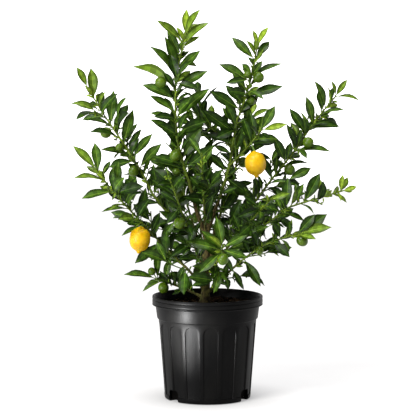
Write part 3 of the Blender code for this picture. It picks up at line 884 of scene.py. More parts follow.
def shoot_path(foot: Vector, shoot: Shoot | SideShoot) -> Path:
    """A shoot's middle line, whose rise above level changes evenly from foot to tip.

    Args:
        foot: Its first point.
        shoot: The shoot.

    Returns:
        The line's points, about 15 mm apart.
    """
    count = max(3, round(shoot.length / 0.015))
    turn = math.radians(shoot.azimuth)
    points = [foot.copy()]
    for step in range(count):
        pitch = math.radians(shoot.rise + (shoot.tip_rise - shoot.rise) * (step + 0.5) / count)
        flat = Vector((math.cos(turn), math.sin(turn), 0.0)) * math.cos(pitch)
        points.append(points[-1] + (flat + UP * math.sin(pitch)) * (shoot.length / count))
    return points


def along_path(path: Sequence[Vector], distance: float) -> tuple[Vector, Vector]:
    """The point and the direction at a distance along a path.

    Args:
        path: The path.
        distance: How far along it.

    Returns:
        The point and the direction.
    """
    for begin, end in zip(path, path[1:]):
        piece = (end - begin).length
        if distance <= piece or end is path[-1]:
            heading = (end - begin).normalized()
            return begin + heading * distance, heading
        distance -= piece
    raise ValueError("a path has at least two points")


def path_length(path: Sequence[Vector]) -> float:
    """A path's length from its first point to its last."""
    return sum((end - begin).length for begin, end in zip(path, path[1:]))


def stretch(path: Sequence[Vector], begin: float, end: float, step: float) -> tuple[Path, list[float]]:
    """Even points along part of a path.

    Args:
        path: The path.
        begin: Where the part begins.
        end: Where it ends.
        step: About how far apart the points are.

    Returns:
        The points, and their distances from the path's foot.
    """
    count = max(1, round((end - begin) / step))
    distances = [begin + (end - begin) * index / count for index in range(count + 1)]
    return [along_path(path, distance)[0] for distance in distances], distances


# ---------------------------------------------------------------- pot and potting mix


@dataclass
class NurseryPot:
    """The moulded pot: a turned wall with a ribbed rim, arched flutes and drain notches.

    Attributes:
        height: From the floor to the top of the rim.
        rim_radius: The rim's outer radius.
        rim_low: Where the rim begins.
        rim_grooves: The heights of the two grooves round the rim.
        rim_inner: The rim's inner radius at its top.
        band: The band below the rim: its lower and upper radius, and its lower edge.
        wall: The plain wall: its lower and upper radius, and where it starts and ends.
        foot_radius: The radius of the flat underside.
        middle_radius: The radius of the rings that close the floor.
        thickness: The plastic's thickness.
        flutes: How many flutes there are.
        flute_front: How far the front flute is turned to the right, in degrees.
        flute_half: Half a flute's width, as an angle.
        flute_rise: Where a flute starts, and the top of its arch.
        flute_width: A flute's width, which its arch is round by.
        flute_depth: How deep it is pressed.
        arch_columns: How many columns of faces a flute has.
        notch_offset: How far the notches are turned from the front flute and from the back one.
        notch_size: A notch's width and height, and how round its corners are.
        notch_block: How far out the block stands that cuts a notch, and how deep it is.
    """
    height: float = 0.2577
    rim_radius: float = 0.1382
    rim_low: float = 0.2350
    rim_grooves: Span = (0.2385, 0.2495)
    rim_inner: float = 0.1337
    band: Triple = (0.1263, 0.1300, 0.2009)
    wall: tuple[float, float, float, float] = (0.1080, 0.1225, 0.0050, 0.1995)
    foot_radius: float = 0.1035
    middle_radius: float = 0.03
    thickness: float = 0.0030
    flutes: int = 16
    flute_front: float = 4.0
    flute_half: float = 9.0
    flute_rise: Span = (0.0120, 0.1930)
    flute_width: float = 0.0362
    flute_depth: float = 0.0021
    arch_columns: int = 10
    notch_offset: float = 56.25
    notch_size: Triple = (0.0355, 0.0290, 0.0090)
    notch_block: Span = (0.11, 0.05)

    @property
    def pitch(self) -> float:
        """The angle from one flute to the next."""
        return 360.0 / self.flutes

    @property
    def arch_foot(self) -> float:
        """The height that the arches spring from."""
        return self.flute_rise[1] - self.flute_width / 2

    def wall_radius(self, height: float) -> float:
        """The outer radius of the plain wall at a height."""
        low, high, begin, end = self.wall
        return low + (high - low) * (height - begin) / (end - begin)

    def columns(self) -> list[float]:
        """The angles of the wall's columns, in degrees: close at a flute's edges, and one on each land.

        Returns:
            The angles.
        """
        made: list[float] = []
        for flute in range(self.flutes):
            middle = self.flute_front - 90.0 + self.pitch * flute
            made += [middle - self.flute_half * math.cos(math.pi * step / self.arch_columns)
                     for step in range(self.arch_columns + 1)]
            made.append(middle + self.pitch / 2)
        return made

    def outside(self) -> list[Span]:
        """The wall's outside from the underside to the rim's top, as radius and height.

        Returns:
            The line's points.
        """
        low, high, begin, end = self.wall
        band_low, band_high, band_foot = self.band
        line = [(self.foot_radius, 0.0), (self.foot_radius + 0.0018, 0.0005), (low - 0.0007, 0.0022),
                (low, begin), (self.wall_radius(self.flute_rise[0]), self.flute_rise[0]),
                (self.wall_radius(self.arch_foot), self.arch_foot), (high, end),
                (high + 0.0006, end + 0.0010), (band_low - 0.0022, band_foot + 0.0002),
                (band_low - 0.0007, band_foot + 0.0008), (band_low, band_foot + 0.0026),
                (band_high, self.rim_low - 0.0022), (band_high + 0.0012, self.rim_low - 0.0006),
                (self.rim_radius - 0.0030, self.rim_low)]
        edges = (self.rim_low, *self.rim_grooves, self.height)
        for low_edge, high_edge in zip(edges, edges[1:]):
            for turn in (math.pi * step / 7 for step in range(1, 7)):
                bulge = 0.0018 * (1.0 - math.sin(turn) ** 0.6)
                rise = (high_edge - low_edge) * (1 - math.cos(turn)) / 2
                line.append((self.rim_radius - bulge, low_edge + rise))
            if high_edge < self.height:
                line.append((self.rim_radius - 0.0019, high_edge))
        return line + [(self.rim_radius - 0.0022, self.height)]

    def inside(self) -> list[Span]:
        """The wall's inside from the rim's top to the middle of the floor, as radius and height.

        Returns:
            The line's points.
        """
        wall, foot = self.thickness, self.wall_radius(self.thickness) - self.thickness
        return [(self.rim_inner + 0.0008, self.height), (self.rim_inner, self.height - 0.0010),
                (self.band[1] - wall, self.rim_low), (self.wall[1] - wall, self.wall[3]),
                (foot - 0.002, wall + 0.002), (foot - 0.005, wall), (self.middle_radius, wall)]

    def around(self, place: Vector) -> float:
        """How far round from the nearest flute's middle a place is, in degrees."""
        degrees = math.degrees(math.atan2(place.y, place.x)) + 90.0 - self.flute_front
        return (degrees + self.pitch / 2) % self.pitch - self.pitch / 2

    def turn_wall(self) -> Object:
        """Model the closed wall from a circle that is extruded ring by ring.

        Returns:
            The wall, in edit mode.
        """
        columns = self.columns()
        radius, height = self.middle_radius, 0.0
        piece = start("fluted_pot", bpy.ops.mesh.primitive_circle_add, vertices=len(columns),
                      radius=radius, fill_type="NGON")
        shell = bmesh.from_edit_mesh(piece.data)
        for vertex, degrees in zip(shell.verts, columns):
            angle = math.radians(degrees)
            vertex.co.xy = radius * math.cos(angle), radius * math.sin(angle)
        bmesh.update_edit_mesh(piece.data)
        for next_radius, next_height in self.outside() + self.inside():
            ratio = next_radius / radius
            pull_ring((0.0, 0.0, next_height - height), (ratio, ratio, 1.0), (0.0, 0.0, next_height))
            radius, height = next_radius, next_height
        self.raise_arches(piece)
        face_outwards()
        return piece

    def raise_arches(self, piece: Object) -> None:
        """Bend the ring that the arches spring from up over each flute.

        Args:
            piece: The wall, in edit mode.
        """
        shell = bmesh.from_edit_mesh(piece.data)
        outer = self.wall_radius(self.arch_foot) - 0.0005
        for vertex in shell.verts:
            share = self.around(vertex.co) / self.flute_half
            is_on_ring = abs(vertex.co.z - self.arch_foot) < 1e-5 and vertex.co.xy.length > outer
            if is_on_ring and abs(share) < 1.001:
                angle = math.atan2(vertex.co.y, vertex.co.x)
                drop = self.flute_width / 2 * (1.0 - math.sqrt(max(0.0, 1.0 - share * share)))
                height = self.flute_rise[1] - drop
                radius = self.wall_radius(height)
                vertex.co = radius * math.cos(angle), radius * math.sin(angle), height
        bmesh.update_edit_mesh(piece.data)

    def is_panel(self, middle: Vector, normal: Vector) -> bool:
        """Whether a face lies in a flute.

        Args:
            middle: The face's middle.
            normal: Its normal.

        Returns:
            True where it does.
        """
        is_wall = self.flute_rise[0] < middle.z < self.arch_foot and normal.z < 0.2
        is_outer = middle.xy.length > self.wall_radius(middle.z) - 0.0015
        return is_wall and is_outer and abs(self.around(middle)) < self.flute_half

    def press_flutes(self, piece: Object) -> None:
        """Inset the flutes' faces, press them into the wall, and round their edges.

        Args:
            piece: The wall, in edit mode.
        """
        pick("FACE", self.is_panel)
        bpy.ops.mesh.inset(thickness=0.0006, depth=-self.flute_depth, use_even_offset=True,
                           use_boundary=True, use_individual=False)
        add_modifier(piece, "BEVEL", width=0.00075, segments=3, limit_method="ANGLE",
                     angle_limit=math.radians(32.0))

    def cut_notches(self, piece: Object) -> None:
        """Cut the drain notches with rounded blocks.

        Args:
            piece: The wall.
        """
        width, height, round_by = self.notch_size
        out, depth = self.notch_block
        spare = 0.01
        turned = self.notch_offset
        for place in (-turned, turned, 180.0 - turned, 180.0 + turned):
            angle = math.radians(self.flute_front - 90.0 + place)
            radial = Vector((math.cos(angle), math.sin(angle), 0.0))
            cutter = start("notch_block", bpy.ops.mesh.primitive_cube_add, size=1.0,
                           location=(*(radial * out).xy, (height - spare) / 2), rotation=(0.0, 0.0, angle),
                           scale=(depth, width, height + spare))
            pick("EDGE", lambda one, other: one.z > 0.0 < other.z
                 and abs((one - other).normalized().dot(radial)) > 0.9)
            bpy.ops.mesh.bevel(offset=round_by, segments=7, affect="EDGES")
            bpy.ops.object.mode_set(mode="OBJECT")
            add_modifier(piece, "BOOLEAN", object=cutter, operation="DIFFERENCE", solver="EXACT")
            bpy.data.objects.remove(cutter, do_unlink=True)

    def build(self) -> None:
        """Model and dress the pot."""
        piece = self.turn_wall()
        self.press_flutes(piece)
        self.cut_notches(piece)
        shade(piece, 28.0)
        dress(piece, [MouldedPlasticFinish()], "pot", "nursery_pot")


@dataclass
class PottingMix:
    """The potting mix: a plug with an uneven top, and pieces of bark that lie on it.

    Attributes:
        radius: The plug's radius at its top.
        low_radius: The plug's radius at its foot.
        bend: The radius and height at which it widens into the pot's band.
        foot: Where the plug begins.
        sides: How many sides the plug has.
        rings: How many rings its top has, and how far apart they are.
        crumbs: How large and how high its unevenness is.
        chips: How many pieces of bark lie on it.
        chip_length: A piece's length, at least and at most.
        chip_shares: How often a piece is dark, brown, tan or mineral.
        seed: The seed of the scatter.
        earth: What the plug wears.
        barks: What the pieces wear.
    """
    radius: float = 0.1258
    low_radius: float = 0.0980
    bend: Span = (0.1150, 0.1900)
    foot: float = 0.0040
    sides: int = 72
    rings: tuple[int, float] = (22, 0.0052)
    crumbs: Span = (0.012, 0.011)
    chips: int = 1500
    chip_length: Span = (0.005, 0.017)
    chip_shares: tuple[float, ...] = (6, 3, 0.5, 0.04)
    seed: int = 7
    earth: EarthFinish = EarthFinish(
        "damp_mix", 190.0, ((0.0015, 0.0011, 0.0008), (0.005, 0.0035, 0.0025), (0.016, 0.011, 0.007)))
    barks: tuple[EarthFinish, ...] = tuple(EarthFinish(name, 260.0, tones) for name, *tones in (
        ("bark_dark", (0.002, 0.0014, 0.001), (0.006, 0.004, 0.0025), (0.016, 0.010, 0.006)),
        ("bark_brown", (0.006, 0.0035, 0.002), (0.018, 0.010, 0.005), (0.036, 0.021, 0.011)),
        ("bark_tan", (0.020, 0.011, 0.006), (0.050, 0.029, 0.015), (0.090, 0.056, 0.030)),
        ("mineral_grit", (0.090, 0.085, 0.078), (0.160, 0.155, 0.140), (0.240, 0.230, 0.210))))

    def plug(self) -> Object:
        """Model the plug: a cone that widens, whose top is inset ring by ring and made uneven.

        Returns:
            The plug.
        """
        bend_radius, bend_height = self.bend
        piece = start("potting_mix", bpy.ops.mesh.primitive_cone_add, vertices=self.sides,
                      radius1=self.low_radius, radius2=bend_radius, depth=bend_height - self.foot,
                      location=(0.0, 0.0, (bend_height + self.foot) / 2))
        pick("FACE", lambda middle, normal: normal.z > 0.9)
        pull_ring((0.0, 0.0, SOIL_TOP - bend_height), self.radius / bend_radius, (0.0, 0.0, SOIL_TOP))
        count, step = self.rings
        for _ in range(count):
            bpy.ops.mesh.inset(thickness=step, depth=0.0)
        bpy.ops.object.mode_set(mode="OBJECT")
        inner = [vertex.index for vertex in piece.data.vertices
                 if vertex.co.z > SOIL_TOP - 0.001 and vertex.co.xy.length < self.radius - 0.003]
        piece.vertex_groups.new(name="top").add(inner, 1.0, "REPLACE")
        add_relief(piece, "crumbs", *self.crumbs, 3, direction="Z", vertex_group="top")
        shade(piece, 50.0)
        return piece

    def chip(self, draw: random.Random) -> np.ndarray:
        """The eight corners of one uneven piece of bark, about its middle.

        Args:
            draw: Where its sizes come from.

        Returns:
            The corners, one row each.
        """
        length = draw.uniform(*self.chip_length)
        half = np.array([length, length * draw.uniform(0.35, 0.75), length * draw.uniform(0.14, 0.34)]) / 2
        signs = np.array([(x, y, z) for z in (-1, 1) for y in (-1, 1) for x in (-1, 1)], float)
        jitter = np.array([[draw.uniform(0.55, 1.1) for _ in range(3)] for _ in range(8)])
        turn = Matrix.Rotation(draw.uniform(0.0, math.tau), 3, "Z") @ Matrix.Rotation(
            draw.gauss(0.0, 0.4), 3, "X") @ Matrix.Rotation(draw.gauss(0.0, 0.35), 3, "Y")
        return (signs * half * jitter) @ np.array(turn).T

    def scatter(self) -> Object:
        """Lay the pieces of bark on the plug.

        Returns:
            The pieces, joined.
        """
        draw = random.Random(self.seed)
        pile = MeshPile()
        faces = ((0, 2, 3, 1), (4, 5, 7, 6), (0, 1, 5, 4), (2, 6, 7, 3), (0, 4, 6, 2), (1, 3, 7, 5))
        for _ in range(self.chips):
            reach = (self.radius - 0.006) * math.sqrt(draw.random())
            angle = draw.uniform(0.0, math.tau)
            height = SOIL_TOP + draw.uniform(-0.001, 0.0045)
            middle = np.array([reach * math.cos(angle), reach * math.sin(angle), height])
            bark = draw.choices(range(len(self.barks)), self.chip_shares)[0]
            pile.add(self.chip(draw) + middle, faces, bark)
        return pile.build("bark_pieces", 30.0)

    def build(self) -> None:
        """Model and dress the plug and the pieces of bark."""
        dress(self.plug(), [self.earth], "soil", "potting_soil")
        dress(self.scatter(), self.barks, "soil", "potting_soil")


# ---------------------------------------------------------------- limbs


@dataclass
class Limbs:
    """The trunk and the boughs that it carries, with their bark's relief.

    Attributes:
        foot_radius: The trunk's radius above its flare.
        fork_radius: The trunk's radius at its fork.
        flare: How much wider the trunk is at the soil, and how fast that dies away.
        foot_x: How far the trunk's foot is from the pot's middle.
        bow: How far the trunk bows.
        tip_radius: A stem's radius at its tip.
        collar: How much wider a bough is where it leaves the trunk, as a share, and how fast that
            dies away.
        green_from: How far along a shoot its bark is all green.
        brown_length: How long the stretch is over which it turns.
        thinning: How much thinner a shoot is past its foot, as a share.
        overlap: How far a bough reaches into its leafy stem.
        grain: The size of the faces that its parts are fused with.
        reliefs: The bark's reliefs: name, size and height.
    """
    foot_radius: float = 0.0112
    fork_radius: float = 0.0074
    flare: Span = (0.0055, 0.0120)
    foot_x: float = -0.0075
    bow: float = 0.0035
    tip_radius: float = 0.0018
    collar: Span = (0.55, 0.007)
    green_from: float = 0.165
    brown_length: float = 0.10
    thinning: float = 0.20
    overlap: float = 0.004
    grain: float = 0.0011
    reliefs: tuple[tuple[str, float, float], ...] = (
        ("bark_swells", 0.010, 0.0011), ("bark_ridges", 0.0032, 0.0007))

    def trunk_point(self, height: float) -> Vector:
        """A point on the trunk's middle line, which leans and bows a little.

        Args:
            height: The point's height.

        Returns:
            The point.
        """
        share = (height - SOIL_TOP) / (TRUNK_FORK - SOIL_TOP)
        bow = self.bow * math.sin(math.pi * share)
        return Vector((self.foot_x * (1.0 - 0.5 * share) + bow, -0.5 * bow, height))

    def trunk_radius(self, height: float) -> float:
        """The trunk's radius at a height: an even taper, with a flare at the soil.

        Args:
            height: The height.

        Returns:
            The radius.
        """
        rise = max(0.0, height - SOIL_TOP)
        flare, flare_height = self.flare
        taper = mix(self.foot_radius, self.fork_radius, rise / (TRUNK_FORK - SOIL_TOP))
        return taper + flare * math.exp(-rise / flare_height)

    def shoot_radius(self, shoot: Shoot, distance: float) -> float:
        """A shoot's radius at a distance from its foot.

        Args:
            shoot: The shoot.
            distance: The distance.

        Returns:
            The radius.
        """
        left = max(0.0, 1.0 - distance / shoot.length)
        thin = 1.0 - self.thinning * (1.0 - math.exp(-max(0.0, distance - 0.02) / 0.05))
        return self.tip_radius + (shoot.radius * thin - self.tip_radius) * left ** 1.2

    def path(self, shoot: Shoot) -> Path:
        """A shoot's middle line from inside the trunk to its tip."""
        path = shoot_path(self.trunk_point(shoot.foot), shoot)
        return [point + shoot.push(shoot.length * step / (len(path) - 1)) for step, point in enumerate(path)]

    def limb(self, name: str, points: Path, radii: list[float], sides: int) -> Object:
        """Model one limb from a circle at its foot, extruded step by step.

        Args:
            name: The limb's name.
            points: Its middle line.
            radii: The radius at each point.
            sides: How many sides it has.

        Returns:
            The limb, a closed shell.
        """
        heading = (points[1] - points[0]).normalized().to_track_quat("Z", "Y").to_euler()
        piece = start(name, bpy.ops.mesh.primitive_circle_add, vertices=sides, radius=radii[0],
                      fill_type="NGON", location=points[0], rotation=heading)
        for index in range(1, len(points)):
            pull_ring(points[index] - points[index - 1], radii[index] / radii[index - 1], points[index])
        face_outwards()
        bpy.ops.object.mode_set(mode="OBJECT")
        return piece

    def trunk(self) -> Object:
        """Model the trunk, from just under the soil to its rounded fork.

        Returns:
            The trunk.
        """
        flared = 0.020
        heights = [SOIL_TOP + rise for rise in (-0.012, 0.0, 0.004, 0.010, flared)]
        heights += [SOIL_TOP + flared + (TRUNK_FORK - SOIL_TOP - flared) * step / 9 for step in range(1, 10)]
        points = [self.trunk_point(height) for height in heights]
        radii = [self.trunk_radius(height) for height in heights]
        points += [points[-1] + UP * 0.003, points[-1] + UP * 0.005]
        radii += [radii[-1] * 0.80, radii[-1] * 0.40]
        return self.limb("trunk_wood", points, radii, 28)

    def bough(self, shoot: Shoot) -> Object:
        """Model a bough with a collar at its foot, to just past where its stem begins.

        Args:
            shoot: The bough's shoot.

        Returns:
            The bough.
        """
        wider, dies_in = self.collar
        points, distances = stretch(self.path(shoot), 0.0, shoot.bare + self.overlap, 0.007)
        surface = self.trunk_radius(shoot.foot) if shoot.foot < TRUNK_FORK else 0.004
        radii = []
        for distance in distances:
            swell = wider * math.exp(-max(0.0, distance - surface) / dies_in)
            radii.append(self.shoot_radius(shoot, distance) * (1.0 + swell))
        return self.limb(f"wood_{shoot.name}", points, radii, 16)

    def build(self, paths: dict[str, Path]) -> None:
        """Model and dress the trunk and the boughs as one grown body.

        Args:
            paths: Each shoot's middle line.
        """
        piece = join_pieces("trunk_and_boughs", [self.trunk()] + [self.bough(shoot) for shoot in SHOOTS])
        add_modifier(piece, "REMESH", mode="VOXEL", voxel_size=self.grain, adaptivity=0.0)
        add_modifier(piece, "SMOOTH", factor=0.5, iterations=6)
        for relief in self.reliefs:
            add_relief(piece, *relief)
        shade(piece, 60.0)
        self.note_ages(piece, paths)
        dress(piece, [BarkFinish()], "bark", "trunk", *(f"bough_{shoot.name}" for shoot in SHOOTS))

    def age(self, shoot: Shoot, distance: float) -> float:
        """How old a shoot's bark is at a distance, from 0 (green) to 1 (brown)."""
        return max(0.0, min(1.0, (self.green_from - distance) / self.brown_length)) * shoot.woody

    def note_ages(self, piece: Object, paths: dict[str, Path]) -> None:
        """Note the bark's age at each corner of the limbs' mesh.

        Args:
            piece: The limbs.
            paths: Each shoot's middle line.
        """
        step = 0.004
        lines = [(self.trunk_point(SOIL_TOP + step * index), 1.0) for index in range(45)]
        for shoot in SHOOTS:
            points, distances = stretch(paths[shoot.name], 0.0, shoot.bare + self.overlap, step)
            lines += [(point, self.age(shoot, distance)) for point, distance in zip(points, distances)]
        tree = point_tree([point for point, _ in lines])
        ages = [sum(lines[index][1] for _, index, _ in tree.find_n(vertex.co, 3)) / 3
                for vertex in piece.data.vertices]
        piece.data.attributes.new("age", "FLOAT", "POINT").data.foreach_set("value", ages)



# ---------------------------------------------------------------- crown


# Leaves that the photograph shows apart, by their stem: how far along it they sit and where their tips
# are, seen on the plane y = 0, in millimetres, how wide they look in percent of their length, and their tone
SEEN_LEAVES: dict[str, tuple[tuple[int, int, int, int, int], ...]] = {
    "left_leader": (
        (106, -78, 481, 44, 0), (142, -11, 565, 42, 2), (153, -118, 505, 46, 1), (169, -111, 525, 45, 1),
        (174, -143, 591, 26, 1), (175, 19, 634, 34, 1), (185, -136, 605, 30, 1), (199, -14, 680, 38, 2),
        (219, -105, 666, 24, 1), (256, -144, 697, 24, 1), (263, -9, 682, 30, 1), (294, -144, 713, 22, 2),
        (303, 6, 774, 28, 2), (318, -144, 756, 26, 2), (348, -163, 783, 28, 2), (373, 2, 817, 28, 2),
        (378, -189, 827, 22, 3), (388, -41, 818, 40, 3), (398, -144, 878, 20, 2), (408, -107, 903, 26, 2),
        (419, -17, 867, 34, 2), (455, -100, 918, 32, 2), (480, 6, 936, 22, 3), (492, -127, 942, 26, 3),
        (506, -17, 969, 22, 3), (510, -51, 970, 36, 4)),
    "left_high": (
        (185, -98, 520, 44, 1), (224, -106, 578, 42, 1), (244, -213, 558, 16, 1), (264, -198, 588, 30, 1),
        (281, -113, 637, 32, 2), (312, -266, 622, 17, 2), (312, -136, 662, 28, 2), (334, -163, 674, 28, 1),
        (355, -184, 722, 38, 2), (370, -293, 665, 17, 1), (407, -303, 697, 17, 2), (414, -232, 769, 40, 2),
        (455, -341, 736, 15, 2), (460, -260, 767, 56, 1), (492, -289, 825, 43, 3), (524, -324, 827, 32, 3)),
    "left_low": (
        (144, -128, 396, 40, 1), (173, -182, 337, 38, 1), (175, -83, 441, 42, 2), (207, -118, 466, 42, 0),
        (229, -215, 406, 20, 2), (248, -153, 528, 36, 1), (292, -265, 466, 15, 2), (307, -176, 554, 36, 1),
        (343, -220, 593, 37, 2), (350, -314, 499, 27, 2), (384, -335, 550, 15, 3), (399, -240, 595, 36, 1),
        (414, -280, 640, 40, 2), (419, -335, 632, 26, 3)),
    "left_lowest": (
        (41, -16, 247, 46, 3), (42, -29, 242, 44, 2), (52, -81, 254, 52, 1), (59, -88, 259, 36, 0),
        (71, -54, 249, 46, 1), (76, -57, 334, 30, 1), (82, -91, 321, 30, 2), (110, -95, 349, 38, 2),
        (115, -163, 266, 18, 2), (130, -123, 370, 34, 2), (134, -210, 309, 20, 2)),
    "front_low": (
        (165, -21, 314, 40, 2), (166, 63, 316, 34, 1), (172, -55, 393, 28, 2), (175, 102, 351, 34, 2),
        (176, -16, 420, 32, 2), (182, 105, 416, 32, 2), (184, 21, 456, 36, 2)),
    "right_leader": (
        (35, -1, 486, 34, 1), (89, -61, 503, 32, 0), (129, -24, 553, 44, 1), (140, 76, 505, 40, 1),
        (152, 108, 505, 46, 0), (166, 1, 615, 36, 1), (215, 16, 632, 34, 1), (237, -10, 659, 26, 0),
        (265, -14, 722, 32, 1), (289, 36, 727, 38, 2), (320, 127, 757, 44, 1), (325, 4, 768, 33, 1),
        (342, 44, 782, 40, 1), (362, 188, 779, 27, 1), (363, 128, 779, 42, 3), (374, 59, 817, 36, 2),
        (400, 27, 834, 28, 2), (408, 186, 835, 14, 2), (416, 136, 842, 44, 2), (421, 85, 835, 50, 2),
        (456, 59, 900, 36, 2), (462, 154, 890, 46, 1), (488, 152, 926, 24, 4), (490, 113, 918, 30, 4)),
    "right_leader.0": (
        (67, 91, 652, 44, 4), (86, 171, 640, 32, 0), (90, 88, 700, 36, 1), (106, 105, 717, 36, 1),
        (129, 156, 650, 44, 0), (133, 168, 731, 42, 2), (134, 198, 685, 30, 4)),
    "right_high": (
        (210, 118, 554, 44, 1), (239, 190, 513, 28, 0), (246, 138, 550, 34, 1), (263, 136, 605, 38, 0),
        (275, 238, 550, 15, 1), (277, 173, 603, 34, 2), (300, 253, 588, 15, 1), (318, 164, 654, 40, 1),
        (325, 207, 641, 46, 1), (351, 309, 615, 16, 2), (361, 195, 686, 30, 1), (369, 233, 672, 44, 1),
        (398, 248, 700, 46, 1), (407, 202, 725, 34, 1), (421, 330, 679, 19, 1), (438, 244, 754, 38, 2),
        (467, 340, 721, 17, 2), (480, 273, 769, 40, 1), (489, 264, 793, 26, 2), (507, 310, 776, 46, 1),
        (526, 378, 742, 17, 3), (527, 306, 793, 24, 3), (527, 346, 796, 38, 3)),
    "right_middle": (
        (181, 111, 481, 44, 0), (192, 126, 401, 44, 0), (217, 174, 487, 34, 1), (224, 213, 426, 50, 0),
        (240, 242, 443, 22, 1), (252, 171, 520, 40, 1), (256, 200, 554, 40, 1), (266, 240, 538, 34, 2),
        (292, 265, 461, 15, 2), (304, 280, 564, 44, 1), (347, 280, 548, 44, 3), (351, 304, 525, 50, 3),
        (380, 347, 489, 28, 3), (397, 337, 560, 44, 4), (403, 361, 517, 34, 4), (403, 372, 530, 42, 4)),
    "right_low": (
        (80, 52, 271, 46, 1), (104, 88, 281, 36, 1), (129, 56, 378, 42, 0), (147, 133, 279, 37, 1),
        (168, 88, 396, 42, 0), (194, 111, 423, 46, 0), (214, 200, 355, 15, 1), (264, 161, 441, 46, 0),
        (290, 203, 443, 46, 1), (311, 268, 461, 44, 1), (311, 271, 398, 28, 3), (311, 298, 461, 42, 1),
        (311, 310, 428, 30, 3)),
    "front_left": (
        (125, -63, 356, 40, 1), (170, -86, 416, 40, 0), (198, -29, 458, 26, 1), (219, -42, 472, 26, 1),
        (230, -106, 451, 42, 1), (249, -98, 481, 40, 1)),
    "front_right": (
        (149, 111, 388, 42, 0), (169, 63, 461, 42, 1), (204, 136, 443, 40, 1), (224, 98, 496, 40, 1)),
    "front_high": (
        (131, 16, 540, 40, 1), (159, -44, 555, 44, 1)),
}


@dataclass
class Axis:
    """A leafy stem, side shoot or twig.

    Attributes:
        path: Its middle line.
        radii: Its radius at its foot and tip.
        carrier: Its number among what has grown.
        first: Where its first leaf may sit.
        order: 0 for a stem, 1 for a side shoot, 2 for a twig.
        name: Its name in the list of leaves that the photograph shows.
        leaves: How many leaves it has.
    """
    path: Path
    radii: Span
    carrier: int
    first: float
    order: int
    name: str = ""
    leaves: int = 0

    @property
    def is_twig(self) -> bool:
        """Whether it is a twig."""
        return self.order == 2

    @property
    def shown_from(self) -> float:
        """Where on it the leaves begin that the photograph shows apart."""
        return min((row[0] / 1000 for row in SEEN_LEAVES.get(self.name, ())), default=math.inf)


@dataclass
class Leaf:
    """One leaf.

    Attributes:
        stem: Where its stalk leaves the twig.
        heading: The way it sets out.
        facing: What its upper face turns to.
        stalk: Its stalk's length.
        length: Its blade's length.
        tone: Its colours.
        width: Its width as a share of its length.
        bend: How far it curves down from root to tip, in radians.
        fold: How far its halves are folded up, in radians.
        twist: How far it is twisted from root to tip, in radians.
        wave: The waviness of its edges, as a share of its half width.
        phase: Where the waves begin.
    """
    stem: Vector
    heading: Vector
    facing: Vector
    stalk: float
    length: float
    tone: LeafTone
    width: float
    bend: float
    fold: float
    twist: float
    wave: float
    phase: float

    @property
    def root(self) -> Vector:
        """Where the blade begins."""
        return self.stem + self.heading * self.stalk

    def outline(self) -> Shape:
        """Its rough shape, that its room is tested by.

        Returns:
            Six corners (root, tip, two at the margins and two in the middle) and eight faces.
        """
        across = self.facing.cross(self.heading).normalized()
        normal = self.heading.cross(across).normalized()
        half = self.length * self.width / 2
        middle = self.root + self.heading * (0.47 * self.length) - normal * (0.10 * self.bend * self.length)
        tip = self.root + self.heading * (0.97 * self.length) - normal * (0.45 * self.bend * self.length)
        rise = normal * (math.sin(self.fold) * half)
        corners = [self.root, tip, middle + across * half + rise, middle - across * half + rise,
                   middle + normal * 0.0004, middle - normal * 0.0004]
        faces = [(0, 3, 4), (3, 1, 4), (1, 2, 4), (2, 0, 4), (3, 0, 5), (1, 3, 5), (2, 1, 5), (0, 2, 5)]
        return corners, faces


@dataclass
class Hanging:
    """One fruit on its stalk.

    Attributes:
        kind: What it is.
        root: Where its stalk leaves the stem.
        middle: The fruit's middle.
        down: The way that its end points.
    """
    kind: FruitKind
    root: Vector
    middle: Vector
    down: Vector


